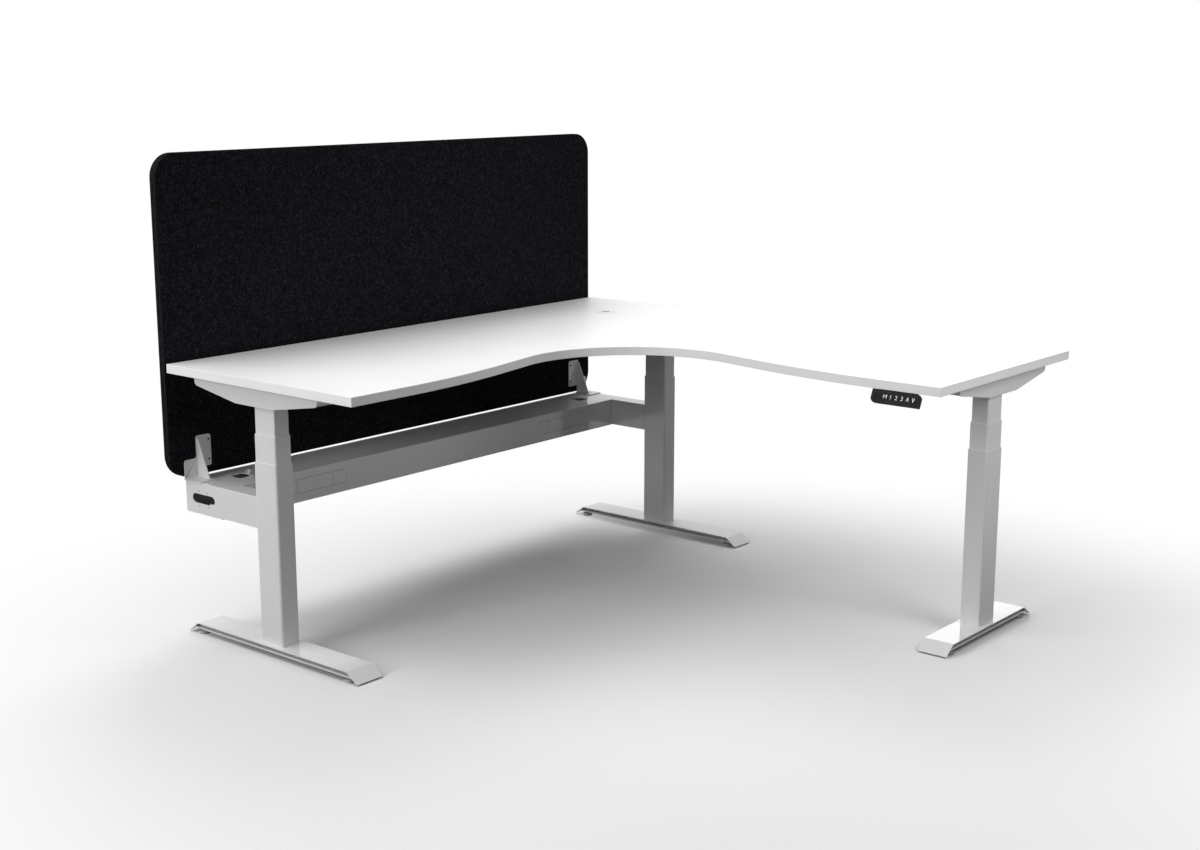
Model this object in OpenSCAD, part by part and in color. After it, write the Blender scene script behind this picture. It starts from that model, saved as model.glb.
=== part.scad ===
// Corner workstation: wave-fronted L worktop on three telescopic lifting columns,
// with a cable beam and a fabric screen that stay at a fixed height.
// Millimetres, +Z up. The worktop's back corner is the reference for every place,
// and the model is then moved so that its origin is under the middle of its box.

/* [Worktop] */
// Length of each wing along its back edge
wing_len = 1800; // [1650:10:2100]
// Depth of each wing at its end
wing_depth = 750; // [700:5:800]
// Thickness of the board
board_t = 25; // [22:1:32]
// How much shallower the wings are beside the corner
wave_dip = 75; // [55:1:90]
// Radius of the hollow curve in front of the corner
corner_arc_r = 330; // [280:5:380]
// Radius of the swell of the front edge between its straight end and the hollow
swell_r = 2000; // [800:10:2090]
// Straight stretch of front edge at each wing's end
front_straight = 193; // [150:1:230]
// Thickness of the edge band
band_t = 2; // [1:0.5:3]

/* [Cable port] */
// Distance of the port from the long wing's screen edge
port_y = 282; // [250:1:320]
// Distance of the port from the return wing's back edge
port_x = 253; // [215:1:290]
// Hole in the board
port_hole_d = 60; // [50:1:80]
// Rim that lies in a seat in the board's top
port_rim_d = 68; // [64:1:90]
// Opening for the cables
port_open_d = 28; // [20:1:40]

/* [Columns] */
// Long side of the outer tube
outer_depth = 90; // [84:1:100]
// Short side of the outer tube
outer_w = 60; // [56:1:70]
// Wall of all tubes
tube_wall = 1.5; // [1.2:0.1:2]
// Gap between one tube and the next
stage_gap = 1; // [0.8:0.1:1.4]
// Outer corner radius of the outer tube
tube_r = 6; // [5:0.5:9]
// Length of the outer tube
outer_len = 503; // [480:1:520]
// How much shorter the middle tube is than the outer one
middle_short = 8; // [3:0.5:30]
// How much shorter the inner tube is than the outer one
inner_short = 6; // [3:0.5:20]
// How far the middle tube shows above the outer one, at rest
middle_show = 76.5; // [75.5:0.5:100]
// How far the inner tube shows above the middle one, at rest
inner_show = 87; // [57:0.5:200]
// Distance of the columns from the wings' back edges
col_back = 355; // [330:1:380]
// Distance of the end columns from the wings' ends
col_end_inset = 70; // [60:1:90]
// Distance of the corner column from the return wing's back edge
corner_col_inset = 53; // [53:1:80]
// Plate in the foot of the outer tube
base_plate_t = 8; // [6:0.5:10]
// Plate in the foot of the middle tube
middle_plate_t = 5; // [4:0.5:6]
// Plate on the head of the inner tube
head_plate_t = 4; // [3:0.5:6]
// Height of the glide pads between the tubes
pad_h = 40; // [25:1:60]
// Running clearance of the glide pads
pad_clear = 0.3; // [0.2:0.05:0.5]

/* [Drive] */
// Diameter of the lifting spindle
spindle_d = 16; // [12:0.5:18]
// How much shorter the spindle is than the inner tube
spindle_short = 1; // [0.5:0.5:25]
// Running clearance round the spindle
spindle_clear = 0.05; // [0.03:0.01:0.09]
// Height of the spindle nut
nut_h = 30; // [20:1:40]
// Outer diameter of the tube that carries the nut
nut_tube_d = 30; // [28:0.5:36]
// Wall of the tube that carries the nut
nut_tube_wall = 2; // [1.5:0.5:3]
// How much shorter that tube is than the middle tube
nut_tube_short = 155; // [145:1:165]
// Width of the gear housing across the arm
gear_w = 56; // [48:1:60]
// Height of the gear housing between the inner tube and the arm
gear_h = 40; // [38:0.5:44]
// Length of the gear housing along the arm
gear_len = 76; // [60:1:90]
// Diameter of the motor
motor_d = 36; // [30:1:38]
// Length of the motor
motor_len = 78; // [60:1:90]

/* [Feet] */
// Length of the feet under the long wing
foot_len = 700; // [600:5:740]
// Length of the foot under the return wing
return_foot_len = 500; // [450:5:600]
// Width of a foot
foot_w = 90; // [90:1:110]
// Height of a foot's top face above the floor
foot_top = 32; // [30:0.5:45]
// Height of the lower edge of a foot's sloping ends above the floor
foot_clear = 4.5; // [4:0.5:8]
// Height of a foot's body between its ends
foot_body_h = 16; // [14:0.5:20]
// Sheet thickness of a foot
foot_t = 3; // [2:0.5:4]
// Length of the slope at each end of a foot
foot_slope = 38; // [30:1:60]
// How far the side webs sit inside a foot's edges
foot_recess = 6; // [4:0.5:10]
// How far the feet stand forward of their columns
foot_shift = 6; // [0:0.5:12]
// Diameter of a levelling glide
glide_d = 32; // [25:1:40]
// Height of a levelling glide's disc
glide_h = 8; // [5:0.5:9]
// Distance of a glide from the foot's end
glide_inset = 44; // [36:1:60]
// Distance of a glide from the foot's long edge
glide_edge_inset = 18; // [17:0.5:24]
// Diameter of a glide's stud
glide_stud_d = 8; // [6:0.5:10]
// Length of a glide's stud
glide_stud_len = 27; // [25:0.5:28]

/* [Arms and rails] */
// Distance of an arm's rear end from the back edge
arm_back = 75; // [60:1:100]
// Distance of an arm's front end from the front edge
arm_front_gap = 170; // [135:1:220]
// Width of an arm
arm_w = 70; // [66:1:80]
// Depth of an arm at its column
arm_deep = 58; // [54:0.5:70]
// Depth of an arm at its ends
arm_shallow = 28; // [20:0.5:32]
// How far the deep stretch reaches behind the column's middle
arm_flat_back = 106; // [80:1:120]
// How far the deep stretch reaches in front of the column's middle
arm_flat_front = 44; // [42:1:60]
// Rounding of an arm's end corners
arm_r = 10; // [6:0.5:14]
// Sheet thickness of an arm
arm_t = 2.5; // [2:0.25:3]
// Width of a rail
rail_w = 40; // [30:1:50]
// Depth of a rail
rail_h = 25; // [16:0.5:28]
// Sheet thickness of a rail
rail_t = 2; // [1.5:0.25:3]
// Distance of the rear rails from the back edges
rail_back = 190; // [150:1:220]
// Distance of the front rails from the back edges
rail_front = 480; // [440:1:500]

/* [Cable beam] */
// Height of the beam's underside above the floor
beam_z = 344; // [320:1:360]
// Height of the beam's section
beam_h = 90; // [80:1:96]
// Depth of the beam's section
beam_depth = 180; // [165:1:200]
// How far the beam reaches behind the worktop's back edge
beam_rear = 16; // [12:1:30]
// Sheet thickness of the beam
beam_t = 2; // [1.5:0.25:3]
// Height of the lips along the beam's back, which hold its cover
beam_lip = 12; // [11:1:20]
// Play of the cover above, below and beside it
cover_play = 0.5; // [0.3:0.1:1]
// Distance of the beam's outer end from the wing's end
beam_end_inset = 52; // [45:1:60]
// Distance of the beam's inner end from the return wing's back edge
beam_corner_inset = 22; // [18:1:30]
// Width of the arms that hold the beam to its columns
beam_arm_w = 58; // [50:1:64]
// Depth of the end caps, measured from the beam's back
beam_cap_depth = 166; // [150:1:176]
// How far an end cap hangs below its arm
beam_cap_step = 2.5; // [1:0.5:5]
// Rounding of the end caps' rear corner
beam_cap_r = 9; // [4:0.5:12]
// Length of the cable slot in each end cap
slot_len = 98; // [80:1:110]
// Height of the cable slot
slot_h = 27; // [20:0.5:34]
// Distance of the cable slot from the beam's back
slot_back = 84; // [75:1:95]
// Spacing along the beam's depth of the link holes round the slot
link_dx = 39; // [30:1:50]
// Spacing in height of the link holes round the slot
link_dz = 41; // [40:1:50]
// Diameter of a link hole
link_hole_d = 4.5; // [4:0.5:6]
// Side of the square cable cut-outs in the beam's top
cutout = 45; // [35:1:60]
// Distance of the cut-outs' middle from the channel's ends
cutout_end = 70; // [55:1:105]
// Distance of the cut-outs' middle from the beam's rear edge
cutout_inset = 90; // [75:1:105]
// Distance of the outlet panels' middle from the channel's ends
outlet_end = 265; // [245:1:305]
// Height of the outlet panels
outlet_h = 42; // [36:1:50]
// Height of the outlet panels' lower edge above the beam's underside
outlet_z = 26; // [20:1:30]
// Width of the middle outlet panel
outlet_main_w = 130; // [110:1:150]
// Width of the side outlet panels
outlet_side_w = 50; // [40:1:60]
// Metal left between two outlet panels
outlet_mullion = 4; // [3:0.5:8]
// Play round an outlet panel
outlet_play = 0.4; // [0.2:0.1:1]

/* [Screen] */
// How far the screen stays inside the worktop's ends
screen_inset = 0; // [0:1:40]
// Height of the screen
screen_h = 900; // [800:10:950]
// Thickness of the screen
screen_t = 25; // [22:1:32]
// Height of the screen's lower edge above the floor
screen_z = 440; // [438:1:480]
// Gap between the screen and the worktop's back edge
screen_gap = 8; // [6:1:14]
// Corner radius of the screen
screen_r = 66; // [40:1:90]
// Thickness of the front panel
front_panel_t = 8; // [6:0.5:10]
// Thickness of the core that shows as a seam in the edge
core_t = 3; // [2:0.5:6]
// How far the core sits inside the panels' edges
core_inset = 1.5; // [1:0.5:4]

/* [Screen brackets] */
// Sheet thickness of a bracket
bracket_t = 3; // [2:0.5:4]
// Height of a bracket above the beam
bracket_h = 119; // [100:1:130]
// Width of the upright that the screws go through
upright_w = 50; // [44:1:60]
// Width of the low wing beside the upright
low_wing_w = 43; // [30:1:48]
// Height of the low wing
low_wing_h = 55; // [45:1:70]
// Height above the beam where the tall part of the upright starts
upright_foot = 28; // [20:1:36]
// Depth of the bracket's base on the beam
bracket_base = 71; // [60:1:80]
// Width of the bracket's base
bracket_base_w = 55; // [50:1:62]
// Depth of the web at its foot
web_foot = 52; // [44:1:58]
// Depth of the web at its top
web_top = 6; // [4:1:10]
// Distance of the upright's free edge from the beam's end
upright_inset = 88; // [80:1:96]

/* [Handset] */
// Length of the handset
hand_len = 142; // [130:1:160]
// Height of the handset's face
hand_face = 36; // [32:1:42]
// Thickness of the handset
hand_t = 14; // [12:0.5:18]
// Tilt of the handset's face
hand_tilt = 24; // [15:1:30]
// Distance of the handset's middle from the wing's end
hand_end = 128; // [110:1:160]
// Cut corners of the handset's face
hand_chamfer = 8; // [5:0.5:10]
// Spacing of the keys
key_pitch = 16.6; // [16:0.1:17.4]
// Width of a key
key_w = 13; // [11:0.5:14]
// Height of a key
key_h = 15; // [12:0.5:18]
// Thickness of a key
key_t = 2.4; // [2:0.1:3]
// How far a key stands out of the face
key_proud = 0.6; // [0.5:0.1:1]
// Play round a key
key_play = 0.3; // [0.2:0.05:0.5]
// Distance of the last key's middle from the handset's end
key_end = 17; // [15:0.5:19]
// Distance of the display window's middle from the handset's other end
window_end = 20; // [18:0.5:21]
// Width of the display window
window_w = 22; // [18:0.5:24]
// Height of the display window
window_h = 15; // [12:0.5:20]
// Thickness of the display window
window_t = 1.5; // [1:0.1:2]

/* [Control box] */
// Length of the control box
box_len = 240; // [200:1:280]
// Depth of the control box
box_depth = 92; // [80:1:110]
// Height of the control box
box_h = 36; // [32:0.5:42]
// Distance of the box's middle from the long wing's end
box_end = 825; // [780:1:880]
// Wall of the control box
box_wall = 3; // [2:0.5:4]
// Width of a motor socket
motor_socket_w = 18; // [14:1:22]
// Width of the mains inlet
inlet_w = 28; // [26:1:32]
// Width of the handset socket
hand_socket_w = 14; // [12:1:16]
// Height of the sockets
socket_h = 14; // [10:0.5:18]
// Height of the mains inlet
inlet_h = 21; // [18:0.5:24]
// Depth of the sockets
socket_depth = 12; // [8:0.5:16]

/* [Fasteners] */
// Shank of the bolts that hold the feet
foot_bolt_d = 8; // [6:1:10]
// Spacing of those bolts along the foot
foot_bolt_dy = 60; // [50:1:64]
// Spacing of those bolts across the foot
foot_bolt_dx = 32; // [28:1:36]
// Shank of the small screws
screw_d = 4; // [3:0.5:5]
// Play between a shank and its hole
screw_play = 0.2; // [0.1:0.05:0.4]
// Length of the screws that go into the board
board_screw_len = 18; // [12:1:20]
// Depth of the screws that go into the screen
screen_screw_depth = 6; // [4:0.5:7]

/* [Hidden] */
$fn = 48;
over = 1;

steel_white = "#e4e4e2";
board_white = "#f4f4f3";
felt_black = "#141618";
plastic_dark = "#37383a";
plastic_white = "#f0f0ee";
zinc = "#b8babc";
zinc_black = "#2b2c2e";
steel_bare = "#8f9294";
seam_dark = "#2a2c2e";
glass_dark = "#0c0e10";

// Derived places and sizes
neck_depth = wing_depth - wave_dip;
shift_x = wing_len / 2;
shift_y = (wing_len - screen_gap - screen_t) / 2;

arc_mid = neck_depth + corner_arc_r;
wave_run = wing_len - front_straight - arc_mid;
wave_ease_share = 0.98;
wave_most_r = (wave_run * wave_run + wave_dip * wave_dip) / (2 * wave_dip);
wave_sum_r = min(swell_r + corner_arc_r, wave_most_r * wave_ease_share);
wave_arc_r = wave_sum_r - corner_arc_r;
wave_reach = norm([wave_run, wave_sum_r - wave_dip]);
wave_slope = atan2(wave_run, wave_sum_r - wave_dip) - acos(wave_sum_r / wave_reach);
arc_steps = 24;
wave_steps = 10;

stage_step = tube_wall + stage_gap;
pad_t = stage_gap - pad_clear;
middle_len = outer_len - middle_short;
inner_len = outer_len - inner_short;
spindle_len = inner_len - spindle_short;
nut_tube_len = middle_len - nut_tube_short;
outer_top = foot_top + outer_len;
middle_top = outer_top + middle_show;
middle_bottom = middle_top - middle_len;
inner_top = middle_top + inner_show;
inner_bottom = inner_top - inner_len;
head_z = inner_top + head_plate_t;
under_z = head_z + gear_h + arm_t;
spindle_socket = 12;
spindle_bottom = head_z - spindle_len;
nut_bottom = middle_bottom + middle_plate_t + nut_tube_len;
plate_play = 1;
head_plate_w = arm_w - 2 * arm_t - plate_play;
head_plate_len = outer_depth + foot_bolt_d;
motor_nose = 6;
motor_drop = (gear_h - motor_d) / 2;
motor_plug_w = 16;
motor_plug_h = 10;

// Columns: x, y, turn and foot length, for the left, corner and return column
columns = [
    [-(wing_len - col_end_inset), -col_back, 0, foot_len],
    [-corner_col_inset, -col_back, 0, foot_len],
    [-col_back, -(wing_len - col_end_inset), -90, return_foot_len]
];

foot_rise = foot_top - foot_clear;
foot_body_z = foot_rise - foot_body_h;
foot_lean = foot_slope / foot_rise;
foot_sheet_run = foot_t / sin(atan2(foot_rise, foot_slope));

screen_w = wing_len - 2 * screen_inset;
beam_len = wing_len - beam_end_inset - beam_corner_inset;
beam_half = beam_len / 2;
beam_mid_x = -(wing_len - beam_end_inset) + beam_half;
beam_front_y = beam_rear - beam_depth;
beam_top = beam_z + beam_h;
beam_arm_front = -(col_back - outer_depth / 2);
beam_inner_half = beam_half - beam_arm_w;
slot_y = beam_rear - slot_back;
slot_z = beam_z + beam_h / 2 - 1;
cutout_x = beam_inner_half - cutout_end;
cutout_y = beam_rear - cutout_inset;
outlet_x = beam_inner_half - outlet_end;
arm_bolt_dz = beam_h / 2;
arm_bolt_d = 6;
top_screw_inset = 20;
outlet_side_mid = outlet_main_w / 2 + outlet_mullion + outlet_side_w / 2;

head_share = 1.9;
head_h_share = 0.55;
hex_share = 0.6;
recess_share = 0.5;
screw_head_d = screw_d * head_share;
screw_head_h = screw_d * head_h_share;

upright_x = -beam_half + upright_inset;
low_wing_x = upright_x - upright_w;
upright_y = screen_gap - bracket_t;
bracket_r = 8;
upright_screw_x = upright_x - screw_head_d;
upright_screw_low = upright_foot + bracket_t + screw_head_d * 2;
upright_screw_high = bracket_h - screw_head_d * 2;
base_screw_x = low_wing_x - low_wing_w / 2;
base_screw_y = upright_y - bracket_base / 2;

// Screws through the top of a beam arm: by its column, and through the bracket's base
beam_arm_screws = [
    [-beam_half + beam_arm_w / 2, beam_arm_front + top_screw_inset],
    [base_screw_x, base_screw_y]
];

hand_y = -(wing_len - hand_end);
tongue_t = 4;
tongue_len = 52;
tongue_w = 110;
tongue_set = 5;
key_labels = 6;
window_mid = window_end - hand_len / 2;
box_x = -(wing_len - box_end);
box_y = -(rail_back + rail_front) / 2;

clip_d = 14;
clip_t = 2.5;
clip_w = 8;
clip_gap_angle = 60;

// Places of the four board screws in an arm, along the arm from the column's middle
arm_len = wing_depth - arm_back - arm_front_gap;
arm_rear = col_back - arm_back;
arm_front = arm_rear - arm_len;
arm_screw_inset = 22;
arm_screw_x = arm_w / 4;
arm_screw_ys = [arm_rear - arm_screw_inset, arm_front + arm_screw_inset];

// Helpers
function unit(v) = v / norm(v);

// Points of a rounded corner at p, coming from a and going to b
function corner_arc(a, p, b, r, n) =
    r == 0 ? [p] :
    let (
        u = unit(a - p),
        v = unit(b - p),
        half = acos(u * v) / 2,
        c = p + unit(u + v) * r / sin(half),
        s = p + u * r / tan(half),
        e = p + v * r / tan(half),
        a0 = atan2(s.y - c.y, s.x - c.x),
        a1 = atan2(e.y - c.y, e.x - c.x),
        sweep = (a1 - a0 + 540) % 360 - 180
    )
    [for (i = [0:n]) c + r * [cos(a0 + sweep * i / n), sin(a0 + sweep * i / n)]];

function rounded(pts, radii, n = 5) =
    [for (i = [0:len(pts) - 1])
        each corner_arc(
            pts[(i + len(pts) - 1) % len(pts)], pts[i], pts[(i + 1) % len(pts)], radii[i], n)];

function box_pts(w, d) = [[-w / 2, -d / 2], [w / 2, -d / 2], [w / 2, d / 2], [-w / 2, d / 2]];

module rounded_box_2d(w, d, r) {
    polygon(rounded(box_pts(w, d), [r, r, r, r]));
}

module at_corner() {
    translate([shift_x, shift_y, 0]) children();
}

module at_column(i) {
    at_corner()
        translate([columns[i][0], columns[i][1], 0])
            rotate(columns[i][2])
                children();
}

module at_beam() {
    at_corner() translate([beam_mid_x, 0, 0]) children();
}

// Left side as drawn, corner side mirrored about the beam's middle
module beam_side(corner) {
    at_beam() mirror([corner ? 1 : 0, 0, 0]) children();
}

// A block from its lowest to its highest corner
module block(low, high) {
    translate(low) cube(high - low);
}

// A profile drawn in Y and Z, extruded along X and centred
module across_x(w) {
    translate([-w / 2, 0, 0])
        rotate([90, 0, 90])
            linear_extrude(w)
                children();
}

// Shank upwards from z = 0, head below it, with a hexagon recess
module screw(d, len, head_d, head_h) {
    cylinder(d = d, h = len);
    translate([0, 0, -head_h])
        difference() {
            cylinder(d = head_d, h = head_h);
            translate([0, 0, -over])
                cylinder(d = head_d * hex_share, h = over + head_h * recess_share, $fn = 6);
        }
}

module small_screw(len) {
    screw(screw_d, len, screw_head_d, screw_head_h);
}

// Worktop

// Outline of the board with every edge moved inwards
function wing_half(inset) =
    concat(
        [[-wing_len + inset, -inset], [-wing_len + inset, -wing_depth + inset]],
        [for (i = [0:wave_steps])
            let (a = -90 + wave_slope * i / wave_steps)
            [-(wing_len - front_straight) + (wave_arc_r - inset) * cos(a),
                -wing_depth + wave_arc_r + (wave_arc_r - inset) * sin(a)]],
        [for (i = [0:arc_steps])
            let (a = 90 + wave_slope - (45 + wave_slope) * i / arc_steps)
            [-arc_mid + (corner_arc_r + inset) * cos(a), -arc_mid + (corner_arc_r + inset) * sin(a)]]
    );

function board_outline(inset) =
    let (half = wing_half(inset))
    concat(
        [[-inset, -inset]],
        half,
        [for (i = [len(half) - 2:-1:0]) [half[i].y, half[i].x]]
    );

module board_holes() {
    translate([-port_x, -port_y, -over]) cylinder(d = port_hole_d, h = board_t + 2 * over);
    translate([-port_x, -port_y, board_t - port_seat])
        cylinder(d = port_rim_d + 2 * port_play, h = port_seat + over);
    for (i = [0:2])
        translate([columns[i][0], columns[i][1], -over])
            rotate(columns[i][2])
                for (y = arm_screw_ys, x = [-arm_screw_x, arm_screw_x])
                    translate([x, y, 0])
                        cylinder(d = screw_d + 2 * screw_play, h = over + board_screw_len);
}

module worktop() {
    color(board_white)
        at_corner()
            translate([0, 0, under_z])
                difference() {
                    linear_extrude(board_t) polygon(board_outline(band_t));
                    board_holes();
                }
}

module edge_band() {
    color(board_white)
        at_corner()
            translate([0, 0, under_z])
                linear_extrude(board_t)
                    difference() {
                        polygon(board_outline(0));
                        polygon(board_outline(band_t));
                    }
}

port_rim_t = 2;
port_seat = 1;
port_wall = 2.2;
port_play = 0.3;
port_cap_t = 4;
port_below = 6;

module cable_port() {
    color(plastic_white)
        at_corner()
            translate([-port_x, -port_y, under_z + board_t])
                rotate_extrude()
                    polygon([
                        [port_open_d / 2, port_rim_t],
                        [port_rim_d / 2 - port_rim_t, port_rim_t],
                        [port_rim_d / 2, 0],
                        [port_rim_d / 2, -port_seat],
                        [port_hole_d / 2 - port_play, -port_seat],
                        [port_hole_d / 2 - port_play, -board_t - port_below],
                        [port_hole_d / 2 - port_play - port_wall, -board_t - port_below],
                        [port_hole_d / 2 - port_play - port_wall, port_rim_t - port_cap_t],
                        [port_open_d / 2, port_rim_t - port_cap_t]
                    ]);
}

// Lifting columns

module tube_2d(short, long, r, wall) {
    difference() {
        rounded_box_2d(short, long, r);
        rounded_box_2d(short - 2 * wall, long - 2 * wall, r - wall);
    }
}

// Outer size of a stage: 0 outer, 1 middle, 2 inner
function stage_short(s) = outer_w - 2 * s * stage_step;
function stage_long(s) = outer_depth - 2 * s * stage_step;
function stage_r(s) = max(tube_r - s * stage_step / 2, tube_wall + stage_gap / 2);

module stage_tube(s, low, high) {
    translate([0, 0, low])
        linear_extrude(high - low)
            tube_2d(stage_short(s), stage_long(s), stage_r(s), tube_wall);
}

// Plate that fills a stage's tube at its foot
module stage_plate(s, low, t) {
    translate([0, 0, low])
        linear_extrude(t)
            rounded_box_2d(
                stage_short(s) - tube_wall, stage_long(s) - tube_wall, stage_r(s) - tube_wall / 2);
}

// Ring of glide pads in the gap between stage s and the next one
module pad_ring(s, low, h, on_outside) {
    near = on_outside ? stage_gap - pad_t : 0;
    translate([0, 0, low])
        linear_extrude(h)
            difference() {
                rounded_box_2d(
                    stage_short(s) - 2 * (tube_wall + near),
                    stage_long(s) - 2 * (tube_wall + near), stage_r(s + 1));
                rounded_box_2d(
                    stage_short(s) - 2 * (tube_wall + near + pad_t),
                    stage_long(s) - 2 * (tube_wall + near + pad_t),
                    stage_r(s + 1) - pad_t / 2);
            }
}

module foot_bolt_places() {
    for (x = [-foot_bolt_dx / 2, foot_bolt_dx / 2], y = [-foot_bolt_dy / 2, foot_bolt_dy / 2])
        translate([x, y, 0]) children();
}

module outer_tube(i) {
    color(steel_white)
        at_column(i)
            difference() {
                union() {
                    stage_tube(0, foot_top, outer_top);
                    stage_plate(0, foot_top, base_plate_t);
                }
                foot_bolt_places()
                    translate([0, 0, foot_top - over])
                        cylinder(d = foot_bolt_d + 2 * screw_play, h = base_plate_t + 2 * over);
                if (i < 2) arm_bolt_holes(i);
            }
}

// Holes in a column's rear wall for the bolts of its beam arm
module arm_bolt_holes(i) {
    for (z = [-arm_bolt_dz / 2, arm_bolt_dz / 2])
        translate([beam_arm_mid(i) - columns[i][0], outer_depth / 2 + over, beam_z + beam_h / 2 + z])
            rotate([90, 0, 0])
                cylinder(d = arm_bolt_d + 2 * screw_play, h = over + tube_wall + stage_gap / 2);
}

// Middle of a beam arm, measured from the worktop's back corner
function beam_arm_mid(i) =
    beam_mid_x + (i == 0 ? -1 : 1) * (beam_half - beam_arm_w / 2);

module outer_glide_pads() {
    color(plastic_white)
        for (i = [0:2])
            at_column(i) pad_ring(0, outer_top - pad_h, pad_h, false);
}

module middle_tube(i) {
    color(steel_white)
        at_column(i) {
            stage_tube(1, middle_bottom, middle_top);
            stage_plate(1, middle_bottom, middle_plate_t);
            translate([0, 0, middle_bottom + middle_plate_t / 2])
                linear_extrude(nut_tube_len + middle_plate_t / 2)
                    difference() {
                        circle(d = nut_tube_d);
                        circle(d = nut_tube_d - 2 * nut_tube_wall);
                    }
        }
}

// Glide pads of the middle tube and the spindle nut on top of its tube
module stage_guides(i) {
    color(plastic_white)
        at_column(i) {
            pad_ring(0, middle_bottom, pad_h, true);
            pad_ring(1, middle_top - pad_h, pad_h, false);
            translate([0, 0, nut_bottom])
                linear_extrude(nut_h)
                    difference() {
                        circle(d = nut_tube_d);
                        circle(d = spindle_d + 2 * spindle_clear);
                    }
        }
}

module inner_tube(i) {
    color(steel_white)
        at_column(i) {
            stage_tube(2, inner_bottom, inner_top + head_plate_t / 2);
            difference() {
                translate([0, 0, inner_top])
                    linear_extrude(head_plate_t)
                        rounded_box_2d(head_plate_w, head_plate_len, tube_r);
                translate([0, 0, inner_top - over])
                    cylinder(d = spindle_d + 2 * tube_wall, h = head_plate_t + 2 * over);
            }
        }
}

module spindle(i) {
    color(steel_bare)
        at_column(i)
            translate([0, 0, spindle_bottom])
                cylinder(d = spindle_d, h = spindle_len + spindle_socket);
}

// Gear housing over the inner tube, motor behind it and its plug
module gearmotor(i) {
    color(plastic_dark)
        at_column(i)
            difference() {
                union() {
                    translate([0, 0, head_z])
                        linear_extrude(gear_h)
                            rounded_box_2d(gear_w, gear_len, tube_r);
                    translate([0, gear_len / 2 - motor_nose, head_z + motor_drop + motor_d / 2])
                        rotate([-90, 0, 0])
                            cylinder(d = motor_d, h = motor_len + motor_nose);
                    block(
                        [-motor_plug_w / 2, gear_len / 2 + motor_len / 2, head_z + gear_h - motor_plug_h],
                        [motor_plug_w / 2, gear_len / 2 + motor_len, head_z + gear_h]);
                }
                translate([0, 0, head_z - over])
                    cylinder(d = spindle_d + 2 * spindle_clear, h = over + spindle_socket + over);
            }
}

// Feet

// Body of a foot with its sloping ends, drawn along its length
module foot_profile(len) {
    difference() {
        polygon([
            [-len / 2, 0], [len / 2, 0],
            [len / 2 - foot_slope, foot_rise], [-len / 2 + foot_slope, foot_rise]
        ]);
        foot_space(len, -over, foot_body_z);
    }
}

// Space between the sheets of the sloping ends, from one height to another
module foot_space(len, low, high) {
    side = len / 2 - foot_sheet_run;
    polygon([
        [-side + low * foot_lean, low], [side - low * foot_lean, low],
        [side - high * foot_lean, high], [-side + high * foot_lean, high]
    ]);
}

// Sheet of a foot, hollow over the given width
module foot_shell(len, w, hollow_w) {
    difference() {
        across_x(w) foot_profile(len);
        across_x(hollow_w) foot_space(len, foot_body_z + foot_t, foot_rise - foot_t);
    }
}

// Both places at a foot's rear or front end, one near each long edge
module glide_places(i, rear) {
    for (s = [-1, 1])
        translate([
            s * (foot_w / 2 - glide_edge_inset),
            -foot_shift + (rear ? 1 : -1) * (columns[i][3] / 2 - glide_inset),
            0
        ])
            children();
}

module foot(i) {
    len = columns[i][3];
    web_w = foot_w - 2 * foot_recess;
    color(steel_white)
        at_column(i)
            difference() {
                translate([0, -foot_shift, foot_clear]) {
                    foot_shell(len, foot_w, foot_w + 2 * over);
                    foot_shell(len, web_w, web_w - 2 * foot_t);
                }
                foot_bolt_places()
                    translate([0, 0, foot_top - foot_t - over])
                        cylinder(d = foot_bolt_d + 2 * screw_play, h = foot_t + 2 * over);
                for (rear = [true, false])
                    glide_places(i, rear)
                        translate([0, 0, foot_clear + foot_body_z - over])
                            cylinder(d = glide_stud_d + 2 * spindle_clear, h = foot_t + 2 * over);
            }
}

// The pair of glides at a foot's rear or front end
module glides(i, rear) {
    color(plastic_dark)
        at_column(i)
            glide_places(i, rear) {
                cylinder(d1 = glide_d - foot_t, d2 = glide_d, h = glide_h / 4);
                translate([0, 0, glide_h / 4]) cylinder(d = glide_d, h = glide_h * 3 / 4);
                cylinder(d = glide_stud_d, h = glide_stud_len);
            }
}

module foot_bolts() {
    color(zinc)
        for (i = [0:2])
            at_column(i)
                foot_bolt_places()
                    translate([0, 0, foot_top - foot_t])
                        screw(
                            foot_bolt_d, foot_t + base_plate_t,
                            foot_bolt_d * head_share, foot_bolt_d * head_h_share);
}

// Arms and rails under the worktop

// Side view of an arm, z = 0 at the board's underside
module arm_outline() {
    polygon(rounded(
        [
            [arm_rear, 0], [arm_rear, -arm_shallow], [arm_flat_back, -arm_deep],
            [-arm_flat_front, -arm_deep], [arm_front, -arm_shallow], [arm_front, 0]
        ],
        [0, arm_r, 0, 0, arm_r, 0]));
}

// The arm is a sheet channel, open below, so its hollow runs down past it
module arm_hollow() {
    drop = arm_deep + over;
    polygon([
        [arm_rear - arm_t, -arm_t], [arm_rear - arm_t, -drop],
        [arm_front + arm_t, -drop], [arm_front + arm_t, -arm_t]
    ]);
}

module under_arm(i) {
    color(steel_white)
        at_column(i)
            translate([0, 0, under_z])
                difference() {
                    across_x(arm_w) arm_outline();
                    across_x(arm_w - 2 * arm_t) arm_hollow();
                    for (y = arm_screw_ys, x = [-arm_screw_x, arm_screw_x])
                        translate([x, y, -arm_t - over])
                            cylinder(d = screw_d + 2 * screw_play, h = arm_t + 2 * over);
                }
}

module worktop_screws() {
    color(zinc)
        for (i = [0:2])
            at_column(i)
                for (y = arm_screw_ys, x = [-arm_screw_x, arm_screw_x])
                    translate([x, y, under_z - arm_t])
                        small_screw(arm_t + board_screw_len - screw_play);
}

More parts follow.
